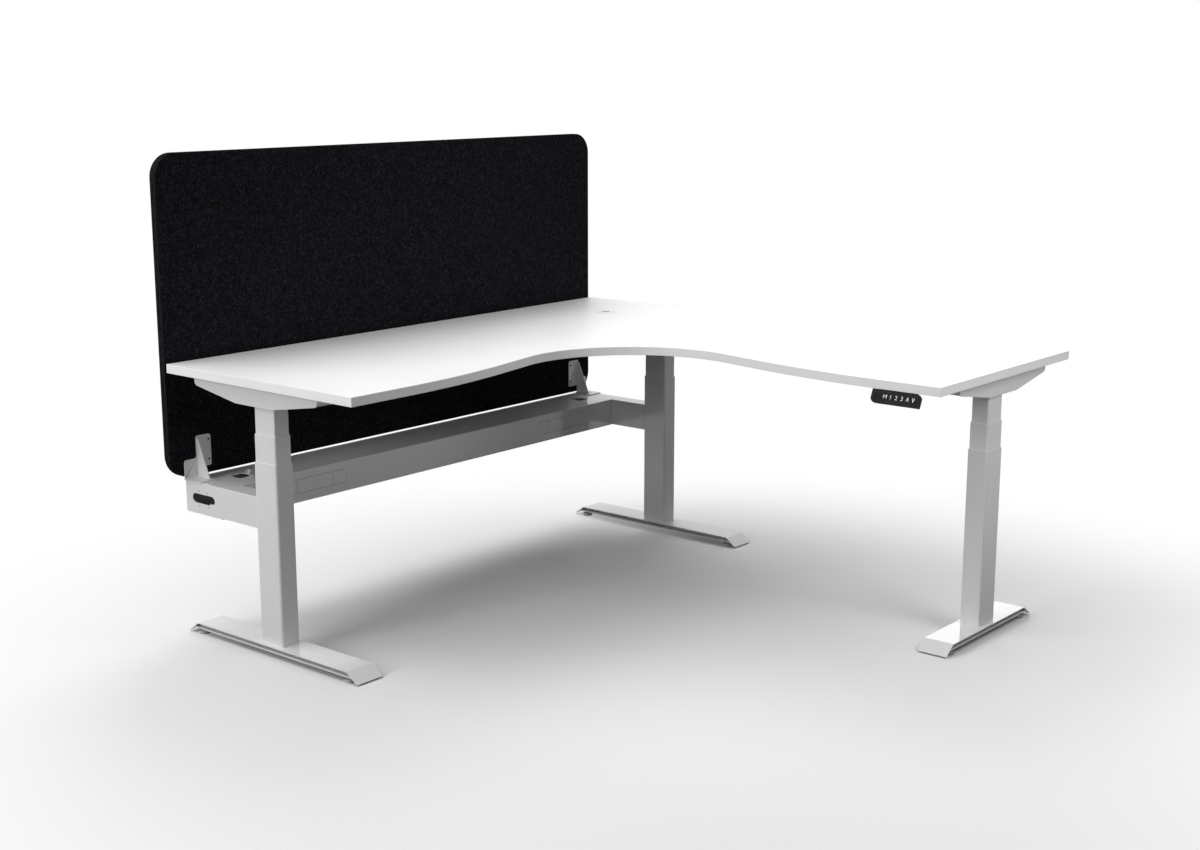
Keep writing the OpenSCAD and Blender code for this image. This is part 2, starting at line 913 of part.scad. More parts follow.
// Inverted channel along X, with its top face at the board's underside
module rail(len) {
    translate([0, 0, under_z])
        rotate([90, 0, 90])
            linear_extrude(len)
                difference() {
                    translate([-rail_w / 2, -rail_h]) square([rail_w, rail_h]);
                    translate([-rail_w / 2 + rail_t, -rail_h - over])
                        square([rail_w - 2 * rail_t, rail_h - rail_t + over]);
                }
}

module main_rails() {
    from_x = columns[0][0] + arm_w / 2;
    to_x = columns[1][0] - arm_w / 2;
    color(steel_white)
        at_corner()
            for (y = [rail_back, rail_front])
                translate([from_x, -y, 0]) rail(to_x - from_x);
}

module return_rails() {
    from_y = rail_front + rail_w / 2;
    to_y = -columns[2][1] - arm_w / 2;
    color(steel_white)
        at_corner()
            for (x = [rail_back, rail_front])
                translate([-x, -from_y, 0]) rotate(-90) rail(to_y - from_y);
}

// Control box and handset

socket_gap = 9;
socket_ws = [inlet_w, motor_socket_w, motor_socket_w, motor_socket_w, hand_socket_w];
socket_hs = [inlet_h, socket_h, socket_h, socket_h, socket_h];

// Distance from the box's middle to the middle of a socket
function sum_to(v, n) = n == 0 ? 0 : v[n - 1] + sum_to(v, n - 1);
function socket_x(n) =
    sum_to(socket_ws, n) + n * socket_gap + socket_ws[n] / 2
        - (sum_to(socket_ws, len(socket_ws)) + (len(socket_ws) - 1) * socket_gap) / 2;

box_r = 6;
box_flange = 12;

module control_box() {
    color(plastic_dark)
        at_corner()
            translate([box_x, box_y, under_z])
                difference() {
                    union() {
                        translate([0, 0, -box_h])
                            linear_extrude(box_h) rounded_box_2d(box_len, box_depth, box_r);
                        translate([0, 0, -box_wall])
                            linear_extrude(box_wall)
                                rounded_box_2d(box_len + 2 * box_flange, box_depth / 2, box_r);
                    }
                    for (n = [0:len(socket_ws) - 1])
                        block(
                            [socket_x(n) - socket_ws[n] / 2, box_depth / 2 - socket_depth,
                                -(box_h + socket_hs[n]) / 2],
                            [socket_x(n) + socket_ws[n] / 2, box_depth / 2 + over,
                                -(box_h - socket_hs[n]) / 2]);
                }
}

// Places the handset's face: x runs along the face to the wing's end, y up the face,
// z out of it, and the origin is the middle of the face's upper edge
module at_handset() {
    at_corner()
        translate([-wing_depth, hand_y, under_z])
            rotate([90 - hand_tilt, 0, -90])
                translate([0, -hand_face, 0])
                    children();
}

module handset_face_2d() {
    w = hand_len / 2;
    c = hand_chamfer;
    polygon([
        [-w + c, 0], [w, 0], [w, hand_face - c], [w - c, hand_face], [-w, hand_face], [-w, c]
    ]);
}

// Middle of key n on the face, counted from the memory key
function key_x(n) = hand_len / 2 - key_end - key_pitch * (key_labels - 1 - n);

module handset_housing() {
    color(plastic_dark)
        difference() {
            union() {
                at_handset() translate([0, 0, -hand_t]) linear_extrude(hand_t) handset_face_2d();
                at_corner()
                    block(
                        [-wing_depth + tongue_set, hand_y - tongue_w / 2, under_z - tongue_t],
                        [-wing_depth + tongue_set + tongue_len, hand_y + tongue_w / 2, under_z]);
                at_corner()
                    block(
                        [-wing_depth + tongue_set, hand_y - tongue_w / 2,
                            under_z - tongue_t - tongue_set],
                        [-wing_depth + hand_t, hand_y + tongue_w / 2, under_z]);
            }
            at_handset() {
                for (n = [0:key_labels - 1])
                    translate([key_x(n), hand_face / 2, -key_t - key_play])
                        linear_extrude(key_t + key_play + over)
                            square([key_w + 2 * key_play, key_h + 2 * key_play], center = true);
                translate([window_mid, hand_face / 2, -window_t])
                    linear_extrude(window_t + over)
                        square([window_w + key_play, window_h + key_play], center = true);
            }
            at_corner()
                handset_screw_places()
                    translate([0, 0, -over])
                        cylinder(d = screw_d + 2 * screw_play, h = tongue_t + 2 * over);
        }
}

module handset_screw_places() {
    for (s = [-1, 1])
        translate([
            -wing_depth + tongue_set + tongue_len - 2 * screw_head_d,
            hand_y + s * tongue_w / 3, under_z - tongue_t
        ])
            children();
}

module handset_screws() {
    color(zinc)
        at_corner()
            handset_screw_places() small_screw(tongue_t - screw_play);
}

module handset_window() {
    color(glass_dark)
        at_handset()
            translate([window_mid, hand_face / 2, -window_t])
                linear_extrude(window_t)
                    square([window_w, window_h], center = true);
}

module key(n) {
    color(plastic_dark)
        at_handset()
            translate([key_x(n), hand_face / 2, key_proud - key_t])
                linear_extrude(key_t)
                    rounded_box_2d(key_w, key_h, key_play);
}

// Cable beam

// Block of a panel's size through the beam's front sheet
module outlet_hole(w) {
    block(
        [-w / 2, beam_front_y - over, beam_z + outlet_z],
        [w / 2, beam_front_y + beam_t + over, beam_z + outlet_z + outlet_h]);
}

module outlet_panel(w) {
    block(
        [-w / 2 + outlet_play, beam_front_y, beam_z + outlet_z + outlet_play],
        [w / 2 - outlet_play, beam_front_y + beam_t, beam_z + outlet_z + outlet_h - outlet_play]);
    block(
        [-w / 2 - outlet_play * 2, beam_front_y + beam_t, beam_z + outlet_z - beam_t],
        [w / 2 + outlet_play * 2, beam_front_y + 2 * beam_t, beam_z + outlet_z + outlet_h + beam_t]);
}

module outlet_panels(corner) {
    color(steel_white)
        beam_side(corner)
            translate([-outlet_x, 0, 0]) {
                outlet_panel(outlet_main_w);
                for (s = [-1, 1])
                    translate([s * outlet_side_mid, 0, 0]) outlet_panel(outlet_side_w);
            }
}

// Places of the screws that hold the cover behind the beam's lips
module cover_screw_places() {
    lip_mid = (beam_lip + beam_t) / 2;
    for (x = [-cutout_x, 0, cutout_x], z = [lip_mid, beam_h - lip_mid])
        translate([x, beam_rear, beam_z + z])
            rotate([90, 0, 0])
                children();
}

// Channel open at the back, with a lip along both edges of the opening
module cable_beam() {
    color(steel_white)
        at_beam()
            difference() {
                block(
                    [-beam_inner_half, beam_front_y, beam_z],
                    [beam_inner_half, beam_rear, beam_top]);
                block(
                    [-beam_inner_half - over, beam_front_y + beam_t, beam_z + beam_t],
                    [beam_inner_half + over, beam_rear - beam_t, beam_top - beam_t]);
                block(
                    [-beam_inner_half - over, beam_rear - beam_t - over, beam_z + beam_lip],
                    [beam_inner_half + over, beam_rear + over, beam_top - beam_lip]);
                cover_screw_places()
                    translate([0, 0, -over])
                        cylinder(d = screw_d + 2 * screw_play, h = beam_t + 2 * over);
                for (s = [-1, 1]) {
                    translate([s * cutout_x, 0, 0])
                        block(
                            [-cutout / 2, cutout_y - cutout / 2, beam_top - beam_t - over],
                            [cutout / 2, cutout_y + cutout / 2, beam_top + over]);
                    translate([s * outlet_x, 0, 0]) {
                        outlet_hole(outlet_main_w);
                        for (t = [-1, 1])
                            translate([t * outlet_side_mid, 0, 0]) outlet_hole(outlet_side_w);
                    }
                }
            }
}

// Plate that closes the beam's back from inside its lips
module beam_cover() {
    color(steel_white)
        at_beam()
            difference() {
                block(
                    [-beam_inner_half + cover_play, beam_rear - 2 * beam_t, beam_z + beam_t + cover_play],
                    [beam_inner_half - cover_play, beam_rear - beam_t, beam_top - beam_t - cover_play]);
                cover_screw_places()
                    translate([0, 0, beam_t - over])
                        cylinder(d = screw_d + 2 * screw_play, h = beam_t + 2 * over);
            }
}

// Slot with round ends, drawn in Y and Z about its middle
module slot_2d() {
    end_r = slot_h / 2;
    square([slot_len - slot_h, slot_h], center = true);
    for (s = [-1, 1]) translate([s * (slot_len / 2 - end_r), 0]) circle(end_r);
}

// Box arm from the beam's end to its column, closed by the cap with the cable slot
module beam_arm(corner) {
    outer_x = -beam_half;
    inner_x = -beam_inner_half;
    flange_y = beam_arm_front;
    color(steel_white)
        beam_side(corner)
            difference() {
                union() {
                    translate([0, 0, beam_z + beam_cap_step])
                        linear_extrude(beam_h - beam_cap_step)
                            arm_plan(outer_x, inner_x, flange_y, 0);
                    translate([0, 0, beam_z])
                        linear_extrude(beam_h)
                            arm_plan(outer_x, inner_x, beam_rear - beam_cap_depth, 0);
                }
                translate([0, 0, beam_z + beam_cap_step + beam_t])
                    linear_extrude(beam_h - beam_cap_step - 2 * beam_t)
                        arm_plan(outer_x, inner_x, flange_y, beam_t);
                block(
                    [inner_x - beam_t - over, beam_front_y + beam_t, beam_z + beam_cap_step + beam_t],
                    [inner_x + over, beam_rear - beam_t, beam_top - beam_t]);
                translate([outer_x - over, slot_y, slot_z])
                    rotate([90, 0, 90])
                        linear_extrude(beam_t + 2 * over)
                            slot_2d();
                for (y = [-link_dx / 2, link_dx / 2], z = [-link_dz / 2, link_dz / 2])
                    translate([outer_x - over, slot_y + y, slot_z + z])
                        rotate([0, 90, 0])
                            cylinder(d = link_hole_d, h = beam_t + 2 * over);
                for (z = [-arm_bolt_dz / 2, arm_bolt_dz / 2])
                    translate([outer_x + beam_arm_w / 2, flange_y - over, beam_z + beam_h / 2 + z])
                        rotate([-90, 0, 0])
                            cylinder(d = arm_bolt_d + 2 * screw_play, h = beam_t + 2 * over);
                for (place = beam_arm_screws)
                    translate([place.x, place.y, beam_top - beam_t - over])
                        cylinder(d = screw_d + 2 * screw_play, h = beam_t + 2 * over);
            }
}

// Plan of a beam arm, drawn inside its edge by the inset
module arm_plan(outer_x, inner_x, front_y, inset) {
    polygon(rounded(
        [
            [outer_x + inset, front_y + inset], [inner_x - inset, front_y + inset],
            [inner_x - inset, beam_rear - inset], [outer_x + inset, beam_rear - inset]
        ],
        [0, 0, 0, beam_cap_r - inset]));
}

// Small open ring that stands on the beam beside the left cut-out
module cable_clip() {
    color(plastic_white)
        at_beam()
            translate([-cutout_x + cutout / 2 + clip_w / 2, cutout_y, beam_top + clip_d / 2]) {
                rotate([0, 90, 0])
                    rotate(90 + clip_gap_angle / 2)
                        rotate_extrude(angle = 360 - clip_gap_angle)
                            translate([clip_d / 2 - clip_t, -clip_w / 2])
                                square([clip_t, clip_w]);
                block(
                    [-clip_w / 2, -clip_d / 4, -clip_d / 2],
                    [clip_w / 2, clip_d / 4, -clip_d / 2 + clip_t]);
            }
}

// Screen and its brackets

// Side of the bracket that stands against the screen, drawn in X and Z above the beam
module upright_2d() {
    polygon(rounded(
        [
            [low_wing_x - low_wing_w, 0], [low_wing_x + web_top, 0],
            [low_wing_x + web_top, upright_foot], [upright_x, upright_foot],
            [upright_x, bracket_h], [low_wing_x, bracket_h],
            [low_wing_x, low_wing_h], [low_wing_x - low_wing_w, low_wing_h]
        ],
        [0, 0, 0, bracket_r / 2, bracket_r, bracket_r, bracket_r, bracket_r]));
}

// Stiffening web, drawn in Y and Z
module web_2d() {
    polygon([
        [upright_y + bracket_t / 2, 0], [upright_y + bracket_t / 2, bracket_h - bracket_r],
        [upright_y - web_top, bracket_h - bracket_r], [upright_y - web_foot, 0]
    ]);
}

module base_2d() {
    polygon(rounded(
        [
            [low_wing_x - low_wing_w, upright_y + bracket_t],
            [low_wing_x - low_wing_w, upright_y + bracket_t - bracket_base],
            [low_wing_x - low_wing_w + bracket_base_w, upright_y + bracket_t - bracket_base],
            [low_wing_x - low_wing_w + bracket_base_w, upright_y + bracket_t]
        ],
        [0, bracket_t, bracket_t, 0]));
}

module screen_bracket(corner) {
    color(steel_white)
        beam_side(corner)
            difference() {
                union() {
                    translate([0, upright_y + bracket_t, beam_top])
                        rotate([90, 0, 0])
                            linear_extrude(bracket_t)
                                upright_2d();
                    translate([low_wing_x + bracket_t, 0, beam_top])
                        across_x(bracket_t) web_2d();
                    translate([0, 0, beam_top]) linear_extrude(bracket_t) base_2d();
                }
                for (z = [upright_screw_low, upright_screw_high])
                    translate([upright_screw_x, upright_y - over, beam_top + z])
                        rotate([-90, 0, 0])
                            cylinder(d = screw_d + 2 * screw_play, h = bracket_t + 2 * over);
                translate([base_screw_x, base_screw_y, beam_top - over])
                    cylinder(d = screw_d + 2 * screw_play, h = bracket_t + 2 * over);
            }
}

module screen_2d(inset) {
    rounded_box_2d(screen_w - 2 * inset, screen_h - 2 * inset, screen_r - inset);
}

// A layer of the screen between two distances behind the worktop's back edge
module screen_layer(inset, near, far) {
    at_corner()
        translate([-wing_len / 2, far, screen_z + screen_h / 2])
            rotate([90, 0, 0])
                linear_extrude(far - near)
                    screen_2d(inset);
}

module screen_front_panel() {
    color(felt_black)
        difference() {
            screen_layer(0, screen_gap, screen_gap + front_panel_t);
            for (corner = [false, true])
                beam_side(corner)
                    for (z = [upright_screw_low, upright_screw_high])
                        translate([upright_screw_x, screen_gap - over, beam_top + z])
                            rotate([-90, 0, 0])
                                cylinder(
                                    d = screw_d + 2 * screw_play,
                                    h = over + screen_screw_depth + screw_play);
        }
}

module screen_core() {
    color(seam_dark)
        screen_layer(core_inset, screen_gap + front_panel_t, screen_gap + front_panel_t + core_t);
}

module screen_rear_panel() {
    color(felt_black)
        screen_layer(0, screen_gap + front_panel_t + core_t, screen_gap + screen_t);
}

// Screws of the screen, of the beam arms at their columns, and down through their tops
module frame_screws() {
    color(zinc_black) {
        at_beam() cover_screw_places() small_screw(2 * beam_t);
        for (corner = [false, true])
            beam_side(corner) {
                for (z = [upright_screw_low, upright_screw_high])
                    translate([upright_screw_x, upright_y, beam_top + z])
                        rotate([-90, 0, 0])
                            small_screw(bracket_t + screen_screw_depth);
                for (z = [-arm_bolt_dz / 2, arm_bolt_dz / 2])
                    translate([
                        -beam_half + beam_arm_w / 2, beam_arm_front + beam_t, beam_z + beam_h / 2 + z
                    ])
                        rotate([90, 0, 0])
                            screw(
                                arm_bolt_d, beam_t + tube_wall,
                                arm_bolt_d * head_share, arm_bolt_d * head_h_share);
                for (n = [0:1])
                    translate([beam_arm_screws[n].x, beam_arm_screws[n].y, beam_top + n * bracket_t])
                        mirror([0, 0, 1]) small_screw(beam_t + n * bracket_t);
            }
    }
}

worktop();
edge_band();
cable_port();
under_arm(0);  // left_arm
under_arm(1);  // corner_arm
under_arm(2);  // return_arm
gearmotor(0);  // left_gearmotor
gearmotor(1);  // corner_gearmotor
gearmotor(2);  // return_gearmotor
inner_tube(0);  // left_inner_tube
inner_tube(1);  // corner_inner_tube
inner_tube(2);  // return_inner_tube
spindle(0);  // left_spindle
spindle(1);  // corner_spindle
spindle(2);  // return_spindle
middle_tube(0);  // left_middle_tube
middle_tube(1);  // corner_middle_tube
middle_tube(2);  // return_middle_tube
stage_guides(0);  // left_stage_guides
stage_guides(1);  // corner_stage_guides
stage_guides(2);  // return_stage_guides
outer_tube(0);  // left_outer_tube
outer_tube(1);  // corner_outer_tube
outer_tube(2);  // return_outer_tube
outer_glide_pads();
foot(0);  // left_foot
foot(1);  // corner_foot
foot(2);  // return_foot
glides(0, true);  // left_rear_glides
glides(0, false);  // left_front_glides
glides(1, true);  // corner_rear_glides
glides(1, false);  // corner_front_glides
glides(2, true);  // return_rear_glides
glides(2, false);  // return_front_glides
foot_bolts();
main_rails();
return_rails();
control_box();
handset_housing();
handset_window();
key(0);  // key_memory
key(1);  // key_one
key(2);  // key_two
key(3);  // key_three
key(4);  // key_up
key(5);  // key_down
cable_beam();
beam_cover();
beam_arm(false);  // left_beam_arm
beam_arm(true);  // corner_beam_arm
outlet_panels(false);  // left_outlet_panels
outlet_panels(true);  // corner_outlet_panels
cable_clip();
screen_bracket(false);  // left_screen_bracket
screen_bracket(true);  // corner_screen_bracket
screen_front_panel();
screen_core();
screen_rear_panel();
frame_screws();
union() {  // board_screws
    worktop_screws();
    handset_screws();
}
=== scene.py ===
"""Corner workstation: the dressed visual model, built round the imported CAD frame.

Every size is in millimetres. A piece is made at the bench with x and y measured from
the worktop's back corner and z from the floor, and it moves to the frame's own origin
in metres when it is dressed.
"""

from __future__ import annotations

import logging
import math
from collections.abc import Callable, Iterator, Sequence
from contextlib import contextmanager
from dataclasses import dataclass, field
from enum import Enum

import bmesh
import bpy
from mathutils import Matrix, Vector


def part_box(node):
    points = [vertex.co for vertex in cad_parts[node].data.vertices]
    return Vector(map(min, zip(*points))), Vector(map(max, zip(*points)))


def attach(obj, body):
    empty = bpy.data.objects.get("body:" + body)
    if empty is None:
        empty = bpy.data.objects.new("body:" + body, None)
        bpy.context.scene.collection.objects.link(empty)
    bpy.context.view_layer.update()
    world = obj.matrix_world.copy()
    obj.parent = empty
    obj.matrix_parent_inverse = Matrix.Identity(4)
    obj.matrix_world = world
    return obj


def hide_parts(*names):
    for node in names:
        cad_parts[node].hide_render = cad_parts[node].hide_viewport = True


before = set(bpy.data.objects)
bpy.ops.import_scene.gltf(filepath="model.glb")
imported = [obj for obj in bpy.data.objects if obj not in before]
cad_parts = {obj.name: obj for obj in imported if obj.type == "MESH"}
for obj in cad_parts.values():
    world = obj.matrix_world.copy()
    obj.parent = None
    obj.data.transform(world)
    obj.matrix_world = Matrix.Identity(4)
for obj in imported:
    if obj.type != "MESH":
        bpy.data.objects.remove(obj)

log = logging.getLogger("workstation")

Place = tuple[float, float, float]
Test = Callable[[Vector, Vector], bool]

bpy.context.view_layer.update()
BACK_CORNER = Vector((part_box("edge_band")[1].x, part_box("edge_band")[1].y, 0.0))
SLACK = 1.0
M4_HOLE = 4.4
M6_HOLE = 6.4
M8_HOLE = 8.4


def mm(value: float) -> float:
    """Turn millimetres into metres."""
    return value / 1000.0


def linear(colour: str) -> tuple[float, float, float, float]:
    """Turn an sRGB hex colour into a linear one.

    Args:
        colour: The colour as "#rrggbb".

    Returns:
        Linear red, green, blue and a full alpha.
    """
    parts = [int(colour[i:i + 2], 16) / 255 for i in (1, 3, 5)]
    red, green, blue = (
        p / 12.92 if p <= 0.04045 else ((p + 0.055) / 1.055) ** 2.4 for p in parts
    )
    return red, green, blue, 1.0


def per(size: float) -> float:
    """Give a pattern's scale on Object coordinates for a feature of that many mm."""
    return 1000.0 / size


# Bench tools


class Part(Enum):
    """The kinds of mesh element that a tool is pointed at."""

    VERT = "verts"
    EDGE = "edges"
    FACE = "faces"


class Axis(Enum):
    """The three directions of the frame."""

    X = (1.0, 0.0, 0.0)
    Y = (0.0, 1.0, 0.0)
    Z = (0.0, 0.0, 1.0)

    @property
    def run(self) -> Vector:
        """The direction as a vector."""
        return Vector(self.value)

    @property
    def turn(self) -> Matrix:
        """The rotation that takes +Z to this direction."""
        return Vector(Axis.Z.value).rotation_difference(self.run).to_matrix().to_4x4()


def facing(x: float, y: float, z: float) -> Test:
    """Make a test for faces that look one way."""
    return lambda _, normal: normal.dot(Vector((x, y, z))) > 0.95


def along(axis: Axis) -> Test:
    """Make a test for edges that run along an axis."""
    return lambda _, run: abs(run.dot(axis.run)) > 0.99


def spot(x: float | None = None, y: float | None = None, z: float | None = None) -> Test:
    """Make a test for elements whose middle lies at the given coordinates.

    Args:
        x: The wanted x in mm, or None for any.
        y: The wanted y in mm, or None for any.
        z: The wanted z in mm, or None for any.

    Returns:
        A test that is true within half a millimetre of them.
    """
    wanted = [(i, v) for i, v in enumerate((x, y, z)) if v is not None]
    return lambda middle, _: all(abs(middle[i] - v) < 0.5 for i, v in wanted)


def both(*tests: Test) -> Test:
    """Make a test that is true where all the given tests are."""
    return lambda middle, direction: all(test(middle, direction) for test in tests)


def either(*tests: Test) -> Test:
    """Make a test that is true where one of the given tests is."""
    return lambda middle, direction: any(test(middle, direction) for test in tests)


def release() -> None:
    """Deselect everything, the CAD nodes too."""
    bpy.ops.object.select_all(action="DESELECT")


class Workpiece:
    """A mesh on the bench, shaped with Blender's own operators, in millimetres."""

    def __init__(self, obj: bpy.types.Object) -> None:
        """Take an object whose place is already in its mesh."""
        self.obj = obj

    @classmethod
    def block(cls, low: Place, high: Place) -> Workpiece:
        """Add a cube that fills the space between two corners.

        Args:
            low: The lowest corner.
            high: The highest corner.

        Returns:
            The new workpiece.
        """
        release()
        bpy.ops.mesh.primitive_cube_add(
            size=1.0,
            location=[mm(a + b) / 2 for a, b in zip(low, high)],
            scale=[mm(b - a) for a, b in zip(low, high)],
        )
        return cls(bpy.context.object).settle()

    @classmethod
    def rod(
        cls, start: Place, axis: Axis, diameter: float, length: float, sides: int = 48
    ) -> Workpiece:
        """Add a cylinder that starts at a place and runs along an axis.

        Args:
            start: The middle of its first end.
            axis: The direction in which it runs.
            diameter: Its diameter.
            length: Its length.
            sides: Its number of sides.

        Returns:
            The new workpiece.
        """
        release()
        bpy.ops.mesh.primitive_cylinder_add(
            vertices=sides, radius=mm(diameter / 2), depth=mm(length)
        )
        rod = cls(bpy.context.object)
        middle = Vector(start) + axis.run * length / 2
        return rod.put(Matrix.Translation(middle / 1000) @ axis.turn)

    @classmethod
    def drill(
        cls, start: Place, axis: Axis, diameter: float, sheet: float, sides: int = 32
    ) -> Workpiece:
        """Make the cutter of a hole right through a sheet.

        Args:
            start: Where the hole's axis enters the sheet.
            axis: The direction of the hole.
            diameter: Its diameter.
            sheet: The sheet's thickness.
            sides: Its number of sides.

        Returns:
            The cutter, which stands out on both sides of the sheet.
        """
        before = tuple(Vector(start) - axis.run * SLACK)
        return cls.rod(before, axis, diameter, sheet + 2 * SLACK, sides)

    @classmethod
    def chain(cls, points: Sequence[Place]) -> Workpiece:
        """Draw an open line of vertices, each extruded from the one before.

        Args:
            points: The places of the vertices.

        Returns:
            The new workpiece, with edges and no faces.
        """
        release()
        spots = [Vector(p) / 1000 for p in points]
        bpy.ops.mesh.primitive_plane_add(size=mm(SLACK), location=spots[0])
        piece = cls(bpy.context.object).settle()
        with piece.editing(Part.VERT):
            bpy.ops.mesh.select_all(action="SELECT")
            bpy.ops.mesh.merge(type="CENTER")
            for before, after in zip(spots, spots[1:]):
                bpy.ops.mesh.extrude_vertices_move(
                    TRANSFORM_OT_translate={"value": after - before}
                )
        return piece

    @classmethod
    def outline(cls, points: Sequence[Place], pull: Place) -> Workpiece:
        """Draw a closed outline, fill it and pull it out to a solid.

        Args:
            points: The corners in order, all in one plane.
            pull: How far, and which way, the face is extruded.

        Returns:
            The new workpiece.
        """
        piece = cls.chain(points)
        with piece.editing(Part.VERT):
            shape = bmesh.from_edit_mesh(piece.obj.data)
            shape.verts.ensure_lookup_table()
            bpy.ops.mesh.select_all(action="DESELECT")
            for vertex in (shape.verts[0], shape.verts[-1]):
                vertex.select_set(True)
            shape.select_flush_mode()
            bpy.ops.mesh.edge_face_add()
            bpy.ops.mesh.select_all(action="SELECT")
            bpy.ops.mesh.edge_face_add()
            bpy.ops.mesh.extrude_region_move(
                TRANSFORM_OT_translate={"value": Vector(pull) / 1000}
            )
            piece.right_way_out()
        return piece

    @classmethod
    def lathe(
        cls,
        profile: Sequence[tuple[float, float]],
        steps: int = 64,
        angle: float = 360.0,
        closed: bool = False,
    ) -> Workpiece:
        """Turn a profile of radius and height round the Z axis.

        Args:
            profile: Radius and height of each point.
            steps: The number of steps of the turn.
            angle: The angle of the turn in degrees.
            closed: Whether the profile's last point joins its first.

        Returns:
            The new workpiece.
        """
        points = [(r, 0.0, z) for r, z in profile]
        piece = cls.chain(points + points[:1] if closed else points)
        with piece.editing(Part.VERT):
            bpy.ops.mesh.select_all(action="SELECT")
            bpy.ops.mesh.spin(
                steps=steps, angle=math.radians(angle), center=(0, 0, 0), axis=(0, 0, 1)
            )
            bpy.ops.mesh.select_all(action="SELECT")
            bpy.ops.mesh.remove_doubles(threshold=1e-6)
            piece.right_way_out()
        return piece

    @contextmanager
    def editing(self, part: Part) -> Iterator[None]:
        """Open the mesh in edit mode with nothing selected.

        Args:
            part: The kind of element to select by.
        """
        self.take()
        bpy.ops.object.mode_set(mode="EDIT")
        bpy.ops.mesh.select_mode(type=part.name)
        bpy.ops.mesh.select_all(action="DESELECT")
        yield
        bpy.ops.object.mode_set(mode="OBJECT")

    def take(self) -> Workpiece:
        """Select this piece alone and make it the active one."""
        release()
        self.obj.select_set(True)
        bpy.context.view_layer.objects.active = self.obj
        return self

    def settle(self) -> Workpiece:
        """Put the object's place, turn and scale into its mesh."""
        self.take()
        bpy.ops.object.transform_apply(location=True, rotation=True, scale=True)
        return self

    def put(self, matrix: Matrix) -> Workpiece:
        """Move the mesh by a matrix in metres."""
        self.obj.matrix_world = matrix @ self.obj.matrix_world
        return self.settle()

    def move(self, x: float = 0.0, y: float = 0.0, z: float = 0.0) -> Workpiece:
        """Move the mesh by millimetres."""
        return self.put(Matrix.Translation((mm(x), mm(y), mm(z))))

    def mirror(self, x: float) -> Workpiece:
        """Mirror the mesh about the plane at x and turn its faces out again."""
        flip = Matrix.Diagonal((-1.0, 1.0, 1.0, 1.0))
        self.put(Matrix.Translation((mm(2 * x), 0, 0)) @ flip)
        with self.editing(Part.FACE):
            self.right_way_out()
        return self

    def right_way_out(self) -> None:
        """Turn all faces of the open mesh outwards."""
        bpy.ops.mesh.select_all(action="SELECT")
        bpy.ops.mesh.normals_make_consistent(inside=False)

    def pick(self, part: Part, test: Test) -> None:
        """Select the elements of the open mesh that pass a test.

        Args:
            part: The kind of element.
            test: Told each element's middle in mm and its normal or run.
        """
        bpy.ops.mesh.select_mode(type=part.name)
        bpy.ops.mesh.select_all(action="DESELECT")
        shape = bmesh.from_edit_mesh(self.obj.data)
        for element in getattr(shape, part.value):
            corners = [element] if part is Part.VERT else element.verts
            middle = sum((v.co for v in corners), Vector()) / len(corners)
            if part is Part.EDGE:
                direction = (element.verts[1].co - element.verts[0].co).normalized()
            else:
                direction = element.normal
            if test(middle * 1000, direction):
                element.select_set(True)
        shape.select_flush_mode()
        bmesh.update_edit_mesh(self.obj.data)

    def delete_faces(self, test: Test) -> Workpiece:
        """Delete the faces that pass a test, with the vertices only they held."""
        with self.editing(Part.FACE):
            self.pick(Part.FACE, test)
            bpy.ops.mesh.delete(type="FACE")
        return self

    def round(self, test: Test, radius: float, steps: int = 4) -> Workpiece:
        """Bevel the edges that pass a test to a round.

        Args:
            test: The test for the edges.
            radius: The radius of the round.
            steps: The number of facets in it.

        Returns:
            This workpiece.
        """
        with self.editing(Part.EDGE):
            self.pick(Part.EDGE, test)
            bpy.ops.mesh.bevel(offset=mm(radius), segments=steps)
        return self

    def inset(self, test: Test, rim: float, sink: float = 0.0) -> Workpiece:
        """Inset the faces that pass a test.

        Args:
            test: The test for the faces.
            rim: The width of the rim that is left.
            sink: How far the inner face then moves out, or in where negative.

        Returns:
            This workpiece.
        """
        with self.editing(Part.FACE):
            self.pick(Part.FACE, test)
            bpy.ops.mesh.inset(thickness=mm(rim), depth=0.0)
            if sink:
                bpy.ops.mesh.extrude_region_shrink_fatten(
                    TRANSFORM_OT_shrink_fatten={"value": mm(sink)}
                )
        return self

    def pull(self, part: Part, test: Test, way: Place) -> Workpiece:
        """Extrude the elements that pass a test.

        Args:
            part: The kind of element.
            test: The test for them.
            way: How far, and which way.

        Returns:
            This workpiece.
        """
        with self.editing(part):
            self.pick(part, test)
            bpy.ops.mesh.extrude_region_move(
                TRANSFORM_OT_translate={"value": Vector(way) / 1000}
            )
        return self

    def slice(self, through: Place, axis: Axis) -> Workpiece:
        """Cut new edges where a plane passes, and keep both sides."""
        with self.editing(Part.FACE):
            bpy.ops.mesh.select_all(action="SELECT")
            bpy.ops.mesh.bisect(plane_co=Vector(through) / 1000, plane_no=axis.run)
        return self

    def use(self, kind: str, **settings: object) -> Workpiece:
        """Add a modifier with its settings and apply it.

        Args:
            kind: The modifier's type.
            **settings: Its settings by name.

        Returns:
            This workpiece.
        """
        self.take()
        modifier = self.obj.modifiers.new(kind.title(), kind)
        for name, value in settings.items():
            setattr(modifier, name, value)
        bpy.ops.object.modifier_apply(modifier=modifier.name)
        return self

    def thicken(self, sheet: float) -> Workpiece:
        """Give a surface the thickness of its sheet, inwards."""
        return self.use("SOLIDIFY", thickness=mm(sheet), offset=-1.0, use_even_offset=True)

    def cut(self, *cutters: Workpiece) -> Workpiece:
        """Cut the cutters' shapes out of this piece and throw the cutters away."""
        tool = cutters[0].join(*cutters[1:])
        self.use("BOOLEAN", operation="DIFFERENCE", solver="EXACT", object=tool.obj)
        bpy.data.objects.remove(tool.obj)
        return self

